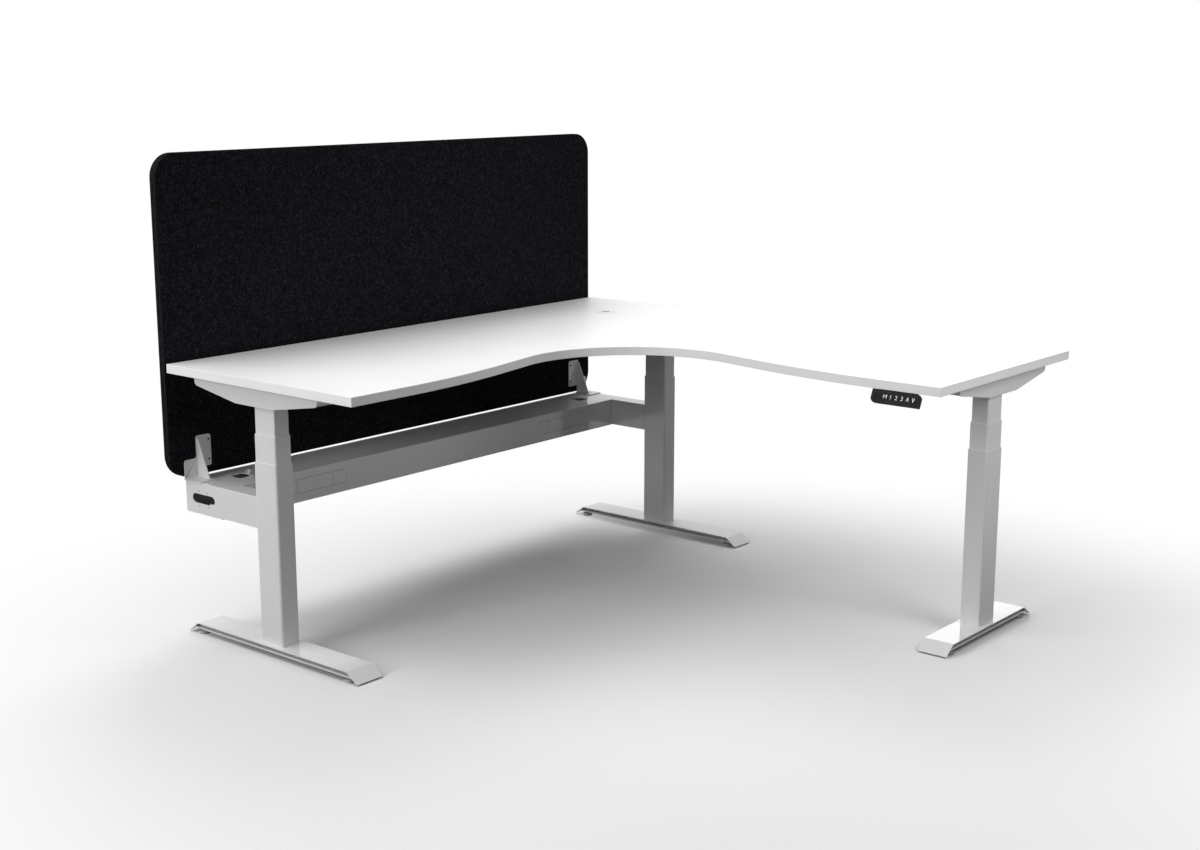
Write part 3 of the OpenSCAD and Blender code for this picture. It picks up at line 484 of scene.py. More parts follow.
    def weld(self, *others: Workpiece) -> Workpiece:
        """Unite other solids with this one, each in its turn."""
        for other in others:
            self.use("BOOLEAN", operation="UNION", solver="EXACT", object=other.obj)
            bpy.data.objects.remove(other.obj)
        return self

    def join(self, *others: Workpiece) -> Workpiece:
        """Put other meshes into this one as they are."""
        if others:
            self.take()
            for other in others:
                other.obj.select_set(True)
            bpy.ops.object.join()
        return self

    def copy(self) -> Workpiece:
        """Make a copy with a mesh of its own."""
        self.take()
        bpy.ops.object.duplicate(linked=False)
        return Workpiece(bpy.context.object)

    def scrap(self) -> None:
        """Throw the piece away once its copies are made."""
        bpy.data.objects.remove(self.obj)

    def dress(
        self,
        name: str,
        finish: Finish,
        body: str,
        *nodes: str,
        edge: float = 0.4,
        steps: int = 2,
        smooth: float = 38.0,
    ) -> bpy.types.Object:
        """Break the piece's edges, give it its finish and hang it on its body.

        Args:
            name: The piece's name.
            finish: The finish of its whole surface.
            body: The CAD body that it rides on.
            *nodes: The CAD nodes that it stands for.
            edge: The width of the broken edges, or 0 for none.
            steps: The number of facets across a broken edge.
            smooth: The angle in degrees under which edges are shaded smooth.

        Returns:
            The finished object.
        """
        self.put(Matrix.Translation(BACK_CORNER))
        if edge:
            self.use(
                "BEVEL", width=mm(edge), segments=steps, limit_method="ANGLE",
                angle_limit=math.radians(smooth), use_clamp_overlap=True,
            )
        self.take()
        bpy.ops.object.shade_smooth_by_angle(angle=math.radians(smooth))
        self.use("WEIGHTED_NORMAL", keep_sharp=True)
        self.obj.name = name
        self.obj.data.name = name
        self.obj.data.materials.clear()
        self.obj.data.materials.append(finish.material())
        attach(self.obj, body)
        if nodes:
            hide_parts(*nodes)
        log.info("%s rides on %s in %s", name, body, finish.name)
        return self.obj


# Finishes


def add_node(
    tree: bpy.types.NodeTree,
    kind: str,
    values: dict | None = None,
    links: dict | None = None,
    **settings: object,
) -> bpy.types.Node:
    """Add a node with its settings, the values of its inputs and their links.

    Args:
        tree: The tree that the node goes into.
        kind: The node's type.
        values: Input name or number to its value.
        links: Input name or number to the output that feeds it.
        **settings: The node's own settings by name.

    Returns:
        The new node.
    """
    node = tree.nodes.new(kind)
    for name, value in settings.items():
        setattr(node, name, value)
    for socket, value in (values or {}).items():
        node.inputs[socket].default_value = value
    for socket, source in (links or {}).items():
        tree.links.new(source, node.inputs[socket])
    return node


def noise(
    tree: bpy.types.NodeTree, place: bpy.types.NodeSocket, size: float, **inputs: float
) -> bpy.types.NodeSocket:
    """Add a noise whose features are of a given size.

    Args:
        tree: The tree that the node goes into.
        place: The Object coordinates.
        size: The size of a feature in mm.
        **inputs: The node's other inputs by name.

    Returns:
        The noise's value.
    """
    values = {"Scale": per(size), **inputs}
    return add_node(tree, "ShaderNodeTexNoise", values, {"Vector": place}).outputs["Fac"]


def ramp(
    tree: bpy.types.NodeTree,
    value: bpy.types.NodeSocket,
    start: tuple[float, float] = (0.0, 1.0),
    end: tuple[float, float] = (0.0, 1.0),
) -> bpy.types.NodeSocket:
    """Move a value from one range to another, cut off at its ends.

    Args:
        tree: The tree that the node goes into.
        value: The value.
        start: The range that it comes from.
        end: The range that it goes to.

    Returns:
        The moved value.
    """
    limits = {"From Min": start[0], "From Max": start[1], "To Min": end[0], "To Max": end[1]}
    return add_node(tree, "ShaderNodeMapRange", limits, {"Value": value}).outputs["Result"]


@dataclass(frozen=True)
class Finish:
    """A real surface: its two tones, the size and height of its texture and its gloss.

    The tones drift into each other in patches of ``patch`` mm, the texture has grains
    of ``grain`` mm that stand ``relief`` mm high, and the roughness wanders between the
    two values of ``rough`` with the same patches.
    """

    name: str
    slot: str
    tone: str
    shade: str
    patch: float
    grain: float
    relief: float
    rough: tuple[float, float]
    metallic: float = 0.0
    ior: float = 1.5
    coat: float = 0.0
    sheen: float = 0.0

    def material(self) -> bpy.types.Material:
        """Make the material once and give the same one to every piece."""
        made = bpy.data.materials.get(self.name)
        if made:
            return made
        made = bpy.data.materials.new(self.name)
        made.use_nodes = True
        tree = made.node_tree
        tree.nodes.clear()
        place = add_node(tree, "ShaderNodeTexCoord").outputs["Object"]
        shader = add_node(
            tree,
            "ShaderNodeBsdfPrincipled",
            {
                "Metallic": self.metallic,
                "IOR": self.ior,
                "Coat Weight": self.coat,
                "Coat Roughness": 0.08,
                "Sheen Weight": self.sheen,
                "Sheen Roughness": 0.45,
            },
        )
        self.texture(tree, place, shader)
        add_node(tree, "ShaderNodeOutputMaterial", links={"Surface": shader.outputs[0]})
        return made

    def texture(
        self,
        tree: bpy.types.NodeTree,
        place: bpy.types.NodeSocket,
        shader: bpy.types.Node,
    ) -> None:
        """Drive the shader's colour, roughness and normal by the finish's texture.

        Args:
            tree: The material's tree.
            place: The Object coordinates.
            shader: The Principled shader.
        """
        patches = noise(tree, place, self.patch, Detail=3.0)
        spread = ramp(tree, patches, start=(0.35, 0.65))
        grains = noise(tree, place, self.grain, Detail=2.0)
        self.connect(tree, shader, self.two_tones(tree, spread), spread, grains)

    def two_tones(
        self, tree: bpy.types.NodeTree, spread: bpy.types.NodeSocket
    ) -> bpy.types.NodeSocket:
        """Mix the finish's tone and shade by a value."""
        return add_node(
            tree, "ShaderNodeMix", {6: linear(self.tone), 7: linear(self.shade)},
            {0: spread}, data_type="RGBA",
        ).outputs[2]

    def connect(
        self,
        tree: bpy.types.NodeTree,
        shader: bpy.types.Node,
        colour: bpy.types.NodeSocket,
        wear: bpy.types.NodeSocket,
        height: bpy.types.NodeSocket,
    ) -> None:
        """Feed the shader.

        Args:
            tree: The material's tree.
            shader: The Principled shader.
            colour: The surface's colour.
            wear: The value that the roughness follows.
            height: The height of the texture's grains.
        """
        bump = add_node(
            tree, "ShaderNodeBump", {"Strength": 1.0, "Distance": mm(self.relief)},
            {"Height": height},
        ).outputs["Normal"]
        tree.links.new(colour, shader.inputs["Base Color"])
        tree.links.new(ramp(tree, wear, end=self.rough), shader.inputs["Roughness"])
        tree.links.new(bump, shader.inputs["Normal"])


@dataclass(frozen=True)
class Felt(Finish):
    """Pressed felt: short matted fibres, pale and dark, over a soft mottle.

    The fibres are drawn ``fibre`` mm wide, which is coarser than the real ones, so that
    they still show from where the desk is seen.
    """

    pale: str = "#36393d"
    dark: str = "#08090a"
    fibre: float = 2.4
    stretch: float = 4.0
    leans: tuple[float, ...] = (8.0, 74.0, -38.0)

    def strands(
        self,
        tree: bpy.types.NodeTree,
        place: bpy.types.NodeSocket,
        lean: float,
        low: float,
        high: float,
    ) -> bpy.types.NodeSocket:
        """Draw fibres that lie one way in the felt's face.

        Args:
            tree: The material's tree.
            place: The Object coordinates.
            lean: How far they lean from upright, in degrees.
            low: The noise value at which a fibre starts to show.
            high: The noise value at which it shows in full.

        Returns:
            The fibres' mask.
        """
        drawn = add_node(
            tree, "ShaderNodeMapping",
            {
                "Rotation": (0.0, math.radians(lean), 0.0),
                "Scale": (1.0, 1.0, self.stretch),
            },
            {"Vector": place},
            vector_type="TEXTURE",
        ).outputs["Vector"]
        fibres = noise(tree, drawn, self.fibre, Detail=1.5, Distortion=0.9)
        return ramp(tree, fibres, start=(low, high))

    def texture(
        self,
        tree: bpy.types.NodeTree,
        place: bpy.types.NodeSocket,
        shader: bpy.types.Node,
    ) -> None:
        """Lay the mottle, the dark and the pale fibres, and the matted relief.

        Args:
            tree: The material's tree.
            place: The Object coordinates.
            shader: The Principled shader.
        """
        mottle = noise(tree, place, self.patch, Detail=5.0, Roughness=0.7)
        colour = self.two_tones(tree, ramp(tree, mottle, start=(0.38, 0.62)))
        upright, across, slanted = (
            self.strands(tree, place, lean, 0.58, 0.74) for lean in self.leans
        )
        pits = self.strands(tree, place, self.leans[2] + 90.0, 0.54, 0.70)
        strands = add_node(
            tree, "ShaderNodeMath", links={0: upright, 1: across}, operation="MAXIMUM"
        )
        strands = add_node(
            tree, "ShaderNodeMath", links={0: strands.outputs[0], 1: slanted},
            operation="MAXIMUM",
        )
        for tone, mask in ((self.dark, pits), (self.pale, strands.outputs[0])):
            colour = add_node(
                tree, "ShaderNodeMix", {7: linear(tone)}, {0: mask, 6: colour},
                data_type="RGBA",
            ).outputs[2]
        nap = noise(tree, place, self.grain, Detail=4.0, Roughness=0.7)
        self.connect(tree, shader, colour, nap, nap)


# Baked powder coat on steel: a glossy, slightly warm grey-white film. Its orange peel is
# so fine that reflections of neighbouring edges stay clear.
POWDER_COAT = Finish(
    "powder_coated_steel", "powder_coat", "#e1e1e0", "#dfdfde", 180.0, 3.0, 0.0015,
    (0.08, 0.11),
)
# Melamine-faced chipboard: white paper under hard resin with a fine pearl texture,
# almost matt.
MELAMINE = Finish(
    "pearl_melamine", "melamine_board", "#f5f5f4", "#f3f3f2", 240.0, 2.0, 0.004,
    (0.40, 0.46),
)
# Extruded ABS edging: a touch greyer and glossier than the board that it is glued to.
EDGE_BAND = Finish(
    "abs_edge_band", "abs_edge", "#f6f6f5", "#f4f4f3", 120.0, 1.6, 0.002, (0.32, 0.38)
)
# Needle-punched polyester felt in black: no gloss at all, with paler and darker fibres.
FELT = Felt(
    "pressed_felt", "felt_black", "#18191c", "#131417", 16.0, 2.6, 0.15, (0.9, 1.0),
    ior=1.08,
)
# The board between the two felts, its cut edge dyed charcoal.
SEAM_BOARD = Finish(
    "dyed_core_board", "seam_charcoal", "#26282a", "#1f2123", 12.0, 1.0, 0.03, (0.7, 0.85),
    ior=1.3,
)
# Moulded acetal: white and waxy.
ACETAL = Finish(
    "moulded_acetal", "acetal_white", "#ececea", "#e8e8e5", 14.0, 1.2, 0.003, (0.36, 0.44)
)
# Moulded ABS with a spark-eroded texture: charcoal and evenly matt.
MOULDED_ABS = Finish(
    "spark_textured_abs", "abs_charcoal", "#1d1e20", "#191a1c", 30.0, 0.9, 0.012,
    (0.50, 0.60), ior=1.2,
)
# Smoked acrylic window: a black sheet with an anti-glare face.
SMOKED_ACRYLIC = Finish(
    "smoked_acrylic", "window_black", "#141517", "#111214", 20.0, 4.0, 0.0005,
    (0.30, 0.36), ior=1.15,
)
# Bright zinc plating: pale metal with cloudy passivation.
ZINC = Finish(
    "bright_zinc_plating", "zinc_steel", "#c3c5c7", "#aeb1b5", 5.0, 0.6, 0.004,
    (0.26, 0.40), metallic=1.0,
)
# Black zinc plating: nearly black, with a dull metal gleam on its edges.
BLACK_ZINC = Finish(
    "black_zinc_plating", "black_zinc", "#3a3b3e", "#2b2c2f", 4.0, 0.6, 0.004,
    (0.32, 0.46), metallic=1.0,
)
# Rolled bare steel with a film of oil.
BARE_STEEL = Finish(
    "oiled_bare_steel", "spindle_steel", "#9a9da0", "#85888c", 12.0, 1.2, 0.006,
    (0.22, 0.34), metallic=1.0,
)
# Die-cast housing under dark machine paint: a pebbled skin.
MACHINE_PAINT = Finish(
    "painted_die_cast", "motor_grey", "#4b4c4e", "#434446", 20.0, 1.4, 0.020, (0.38, 0.50)
)
# Moulded nylon foot: pale grey, dull and slightly scuffed.
NYLON = Finish(
    "moulded_nylon", "nylon_grey", "#c2c2c1", "#b4b4b3", 8.0, 0.8, 0.010, (0.50, 0.66)
)
# Pad-printed legend ink: a thin white film.
LEGEND_INK = Finish(
    "white_pad_print", "acetal_white", "#f2f2f0", "#ececea", 6.0, 0.5, 0.002, (0.5, 0.6)
)


# The desk's own places


class Side(Enum):
    """The three lifting columns, named for where they stand."""

    LEFT = "left"
    CORNER = "corner"
    RETURN = "return"


@dataclass(frozen=True)
class Standing:
    """Where a column stands, how it is turned and how long its foot is."""

    side: Side
    x: float
    y: float
    turn: float
    foot: float
    beam_bolts: float | None

    def matrix(self) -> Matrix:
        """The move from the column's own middle to its place, in metres."""
        spin = Matrix.Rotation(math.radians(self.turn), 4, "Z")
        return Matrix.Translation((mm(self.x), mm(self.y), 0.0)) @ spin

    def place(self, x: float, y: float, z: float) -> Place:
        """Give the bench place in mm of a point measured from the column's middle."""
        return tuple(self.matrix() @ Vector((mm(x), mm(y), mm(z))) * 1000)


STANDINGS = (
    Standing(Side.LEFT, -1730.0, -355.0, 0.0, 700.0, 11.0),
    Standing(Side.CORNER, -53.0, -355.0, 0.0, 700.0, 2.0),
    Standing(Side.RETURN, -355.0, -1730.0, -90.0, 500.0, None),
)
UNDERSIDE = 745.0
BEAM_BOLT_HEIGHTS = (366.5, 411.5)


@dataclass
class Hardware:
    """Pan head screws with a hexagon recess, made once and set where they belong.

    The head's radius is ``head`` times the shank's diameter, and its height ``rise`` times.
    """

    diameter: float = 4.0
    length: float = 20.0
    head: float = 0.95
    rise: float = 0.55

    def make(self) -> Workpiece:
        """Turn one screw with its head under z = 0 and its shank above it."""
        head_r = self.diameter * self.head
        head_h = self.diameter * self.rise
        tip = self.diameter * 0.1
        shank_r = self.diameter / 2
        screw = Workpiece.lathe(
            [
                (0.0, -head_h), (head_r * 0.7, -head_h), (head_r * 0.92, -head_h * 0.75),
                (head_r, -head_h * 0.4), (head_r, 0.0), (shank_r, 0.0),
                (shank_r, self.length - tip), (shank_r - tip, self.length),
                (0.0, self.length),
            ],
            steps=32,
        )
        recess = Workpiece.rod(
            (0.0, 0.0, -head_h - SLACK), Axis.Z, head_r * 1.2, head_h / 2 + SLACK, 6
        )
        return screw.cut(recess)

    def lay_out(self, places: Sequence[tuple[Place, Place]]) -> Workpiece:
        """Copy the screw to its places and join the copies.

        Args:
            places: For each screw, where its head sits and which way its shank runs.

        Returns:
            All the screws as one workpiece.
        """
        master = self.make()
        copies = []
        for place, way in places:
            turn = Axis.Z.run.rotation_difference(Vector(way)).to_matrix().to_4x4()
            copies.append(
                master.copy().put(Matrix.Translation(Vector(place) / 1000) @ turn)
            )
        master.scrap()
        return copies[0].join(*copies[1:])


@dataclass
class Worktop:
    """The L-shaped board with its swept front, its edge band and the cable port.

    From its free end a wing's front runs straight for ``straight`` mm and then bends back
    with ``swell_r`` into the corner's hollow. The hollow's circle, of ``hollow_r``, comes
    ``dip`` mm inside the lines of both fronts. ``port_bevel`` is how far in and up from
    the ring's rim its bevel turns, and ``port_sleeve`` the sleeve's drop and its wall.
    """

    length: float = 1800.0
    depth: float = 750.0
    thickness: float = 25.0
    dip: float = 75.0
    hollow_r: float = 330.0
    swell_r: float = 2000.0
    straight: float = 193.0
    band: float = 2.0
    band_r: float = 1.0
    hollow_steps: int = 36
    swell_steps: int = 20
    port: tuple[float, float] = (-253.0, -282.0)
    port_hole: float = 30.0
    port_rim: float = 34.0
    port_open: float = 14.0
    port_seat: float = 1.0
    port_play: float = 0.3
    port_lift: float = 2.0
    port_bevel: tuple[float, float] = (0.6, 1.2)
    port_sleeve: tuple[float, float] = (31.0, 2.2)

    def half(self, inset: float) -> list[tuple[float, float]]:
        """Draw one wing's edge from its back corner to the middle of the hollow.

        Args:
            inset: How far inside the board's true edge the line runs.

        Returns:
            The points in x and y.
        """
        hollow_mid = self.depth - self.dip + self.hollow_r
        run = self.length - self.straight - hollow_mid
        reach = math.hypot(run, self.swell_r + self.hollow_r - self.dip)
        lean = math.atan2(run, self.swell_r + self.hollow_r - self.dip) - math.acos(
            (self.swell_r + self.hollow_r) / reach
        )
        points = [
            (-self.length + inset, -inset),
            (-self.length + inset, -self.depth + inset),
        ]
        swell = self.swell_r - inset
        for i in range(self.swell_steps + 1):
            angle = -math.pi / 2 + lean * i / self.swell_steps
            points.append((
                -(self.length - self.straight) + swell * math.cos(angle),
                -self.depth + self.swell_r + swell * math.sin(angle),
            ))
        hollow = self.hollow_r + inset
        for i in range(self.hollow_steps + 1):
            angle = math.pi / 2 + lean - (math.pi / 4 + lean) * i / self.hollow_steps
            points.append((
                -hollow_mid + hollow * math.cos(angle),
                -hollow_mid + hollow * math.sin(angle),
            ))
        return points

    def slab(self, inset: float, low: float, high: float) -> Workpiece:
        """Cut a slab to the board's outline.

        Args:
            inset: How far inside the true edge its sides are.
            low: The height of its underside.
            high: The height of its top.

        Returns:
            The slab.
        """
        half = self.half(inset)
        outline = [(-inset, -inset), *half, *[(y, x) for x, y in reversed(half[:-1])]]
        return Workpiece.outline([(x, y, low) for x, y in outline], (0, 0, high - low))

    def build(self) -> None:
        """Make the board, the band round it and the port."""
        top = UNDERSIDE + self.thickness
        band = self.slab(0.0, UNDERSIDE, top)
        rims = either(spot(z=UNDERSIDE), spot(z=top))
        ends = both(along(Axis.Z), lambda m, _: min(-m.x, -m.y) < SLACK or self.at_end(m))
        band.round(either(rims, ends), self.band_r, 3)
        band.cut(self.slab(self.band, UNDERSIDE - SLACK, top + SLACK))
        band.dress("swept_edge_band", EDGE_BAND, "desk_top", "edge_band", edge=0.0)

        seat_r = self.port_rim + self.port_play
        hole = Workpiece.lathe(
            [
                (0.0, UNDERSIDE - SLACK), (self.port_hole, UNDERSIDE - SLACK),
                (self.port_hole, top - self.port_seat), (seat_r, top - self.port_seat),
                (seat_r, top + SLACK), (0.0, top + SLACK),
            ],
            steps=72,
        ).move(*self.port)
        board = self.slab(self.band, UNDERSIDE, top).cut(hole)
        board.dress(
            "wave_fronted_board", MELAMINE, "desk_top", "worktop", edge=0.12, steps=1
        )
        self.build_port(top)

    def at_end(self, middle: Vector) -> bool:
        """Tell whether an upright edge is at the free end of a wing."""
        return max(-middle.x, -middle.y) > self.length - SLACK

    def build_port(self, top: float) -> None:
        """Turn the cable port's ring.

        Args:
            top: The height of the worktop's surface.
        """
        outer = self.port_hole - self.port_play
        drop, wall = self.port_sleeve
        lift, rim, seat = self.port_lift, self.port_rim, top - self.port_seat
        profile = [
            (self.port_open, top + lift), (rim - lift, top + lift),
            (rim - self.port_bevel[0], top + self.port_bevel[1]), (rim, top), (rim, seat),
            (outer, seat), (outer, top - drop), (outer - wall, top - drop),
            (outer - wall, top - lift), (self.port_open, top - lift),
        ]
        ring = Workpiece.lathe(profile, steps=72, closed=True).move(*self.port)
        ring.dress("cable_port_ring", ACETAL, "desk_top", "cable_port", edge=0.35)


@dataclass
class LiftingColumns:
    """Three telescopic columns of three steel tubes, with their drives on top.

    ``heights`` are the ends of the outer, middle and inner tube, ``carrier`` the radii and
    length of the tube that carries the nut, ``head`` the size of the inner tube's head
    plate, and ``gear_bore`` the diameter and depth of the hole for the spindle. The
    motor's waist has a start, an end and a depth, its dimple a radius and a depth, and
    ``cover_line`` and ``plug_mouth`` give the width of a rim and how deep the face inside
    it is sunk.
    """

    depth: float = 90.0
    width: float = 60.0
    wall: float = 1.5
    gap: float = 1.0
    corner_r: float = 6.0
    heights: tuple[tuple[float, float], ...] = ((32.0, 535.0), (116.5, 611.5), (201.5, 698.5))
    foot_plate: float = 8.0
    stage_plate: float = 5.0
    carrier: tuple[float, float, float] = (13.0, 15.0, 345.0)
    head: tuple[float, float, float] = (64.0, 98.0, 4.0)
    head_bore: float = 19.0
    bolt_spacing: tuple[float, float] = (32.0, 60.0)
    gear: tuple[float, float, float] = (56.0, 76.0, 40.0)
    gear_bore: tuple[float, float] = (16.1, 12.0)
    motor_d: float = 36.0
    motor_len: float = 78.0
    motor_rise: float = 20.0
    motor_sunk: float = 6.0
    motor_waist: tuple[float, float, float] = (16.0, 61.0, 1.2)
    motor_bevel: float = 3.0
    motor_dimple: tuple[float, float] = (6.0, 2.0)
    cover_line: tuple[float, float] = (3.0, 0.8)
    plug: tuple[float, float, float] = (16.0, 39.0, 10.0)
    plug_mouth: tuple[float, float] = (1.5, 3.0)

    def tube(self, stage: int) -> Workpiece:
        """Fold one stage's tube: 0 for the outer, 1 middle, 2 inner."""
        step = self.wall + self.gap
        half_w = self.width / 2 - stage * step
        half_d = self.depth / 2 - stage * step
        low, high = self.heights[stage]
        tube = Workpiece.block((-half_w, -half_d, low), (half_w, half_d, high))
        tube.round(along(Axis.Z), self.corner_r - stage * step / 2, 6)
        tube.delete_faces(either(facing(0, 0, 1), facing(0, 0, -1)))
        return tube.thicken(self.wall)

    def plate(self, stage: int, low: float, thickness: float) -> Workpiece:
        """Cut the plate that closes a stage's foot.

        Args:
            stage: The tube that it goes into.
            low: The height of its underside.
            thickness: Its thickness.

        Returns:
            The plate.
        """
        inside = stage * (self.wall + self.gap) + self.wall
        half_w = self.width / 2 - inside
        half_d = self.depth / 2 - inside
        plate = Workpiece.block(
            (-half_w, -half_d, low), (half_w, half_d, low + thickness)
        )
        return plate.round(along(Axis.Z), self.corner_r - self.wall - stage, 6)

    def outer(self, standing: Standing) -> Workpiece:
        """Make an outer tube with its foot plate and bolt holes."""
        low = self.heights[0][0]
        tube = self.tube(0)
        plate = self.plate(0, low, self.foot_plate)
        holes = [
            Workpiece.drill((x, y, low), Axis.Z, M8_HOLE, self.foot_plate)
            for x in (-self.bolt_spacing[0] / 2, self.bolt_spacing[0] / 2)
            for y in (-self.bolt_spacing[1] / 2, self.bolt_spacing[1] / 2)
        ]
        plate.cut(*holes)
        if standing.beam_bolts is not None:
            start_y = self.depth / 2 - 2 * self.wall
            tube.cut(*[
                Workpiece.rod(
                    (standing.beam_bolts, start_y, z), Axis.Y, M6_HOLE, 4 * self.wall, 32
                )
                for z in BEAM_BOLT_HEIGHTS
            ])
        return tube.join(plate)

    def middle(self) -> Workpiece:
        """Make a middle tube with its plate and the tube that carries the nut."""
        low = self.heights[1][0]
        bore_r, outer_r, length = self.carrier
        carrier = Workpiece.lathe(
            [(bore_r, low), (outer_r, low), (outer_r, low + length), (bore_r, low + length)],
            steps=48, closed=True,
        )
        return self.tube(1).join(self.plate(1, low, self.stage_plate), carrier)

    def inner(self) -> Workpiece:
        """Make an inner tube with the plate on its head."""
        top = self.heights[2][1]
        width, depth, plate = self.head
        head = Workpiece.block(
            (-width / 2, -depth / 2, top), (width / 2, depth / 2, top + plate)
        )
        head.round(along(Axis.Z), self.corner_r, 6)
        head.cut(Workpiece.drill((0, 0, top), Axis.Z, self.head_bore, plate, 48))
        return self.tube(2).join(head)

    def gearmotor(self) -> Workpiece:
        """Make the gear housing with its cover, the motor behind it and the plug."""
        width, length, height = self.gear
        low = self.heights[2][1] + self.head[2]
        high = low + height
        housing = Workpiece.block(
            (-width / 2, -length / 2, low), (width / 2, length / 2, high)
        )
        housing.round(along(Axis.Z), self.corner_r, 6)
        housing.inset(facing(0, 0, -1), self.cover_line[0], -self.cover_line[1])
        bore, deep = self.gear_bore
        housing.cut(Workpiece.rod((0, 0, low - SLACK), Axis.Z, bore, deep + SLACK))
        radius, end = self.motor_d / 2, self.motor_len
        waist_low, waist_high, waist_in = self.motor_waist
        dimple_r, dimple = self.motor_dimple
        motor = Workpiece.lathe(
            [
                (0.0, -self.motor_sunk), (radius, -self.motor_sunk), (radius, waist_low),
                (radius - waist_in, waist_low + 1.0), (radius - waist_in, waist_high - 1.0),
                (radius, waist_high), (radius, end - self.motor_bevel),
                (radius - self.motor_bevel, end), (dimple_r, end),
                (dimple_r, end - dimple), (0.0, end - dimple),
            ],
            steps=48,
        )
        motor.put(Matrix.Rotation(-math.pi / 2, 4, "X"))
        motor.move(0, length / 2, low + self.motor_rise)
        plug_w, plug_len, plug_h = self.plug
        plug_end = length / 2 + end
        plug = Workpiece.block(
            (-plug_w / 2, plug_end - plug_len, high - plug_h), (plug_w / 2, plug_end, high)
        )
        plug.inset(facing(0, 1, 0), self.plug_mouth[0], -self.plug_mouth[1])
        return housing.join(motor, plug)

    def build(self) -> None:
        """Make each stage once and set copies of it at the three columns."""
        middle, inner, motor = self.middle(), self.inner(), self.gearmotor()
        for standing in STANDINGS:
            side = standing.side.value
            stand = standing.matrix()
            self.outer(standing).put(stand).dress(
                f"{side}_outer_sleeve", POWDER_COAT, "base_frame", f"{side}_outer_tube",
                edge=0.25,
            )
            middle.copy().put(stand).dress(
                f"{side}_middle_sleeve", POWDER_COAT, f"{side}_stage",
                f"{side}_middle_tube", edge=0.25,
            )
            inner.copy().put(stand).dress(
                f"{side}_inner_sleeve", POWDER_COAT, "desk_top", f"{side}_inner_tube",
                edge=0.25,
            )
            motor.copy().put(stand).dress(
                f"{side}_drive_housing", MACHINE_PAINT, "desk_top", f"{side}_gearmotor",
                edge=0.6,
            )
        for master in (middle, inner, motor):
            master.scrap()


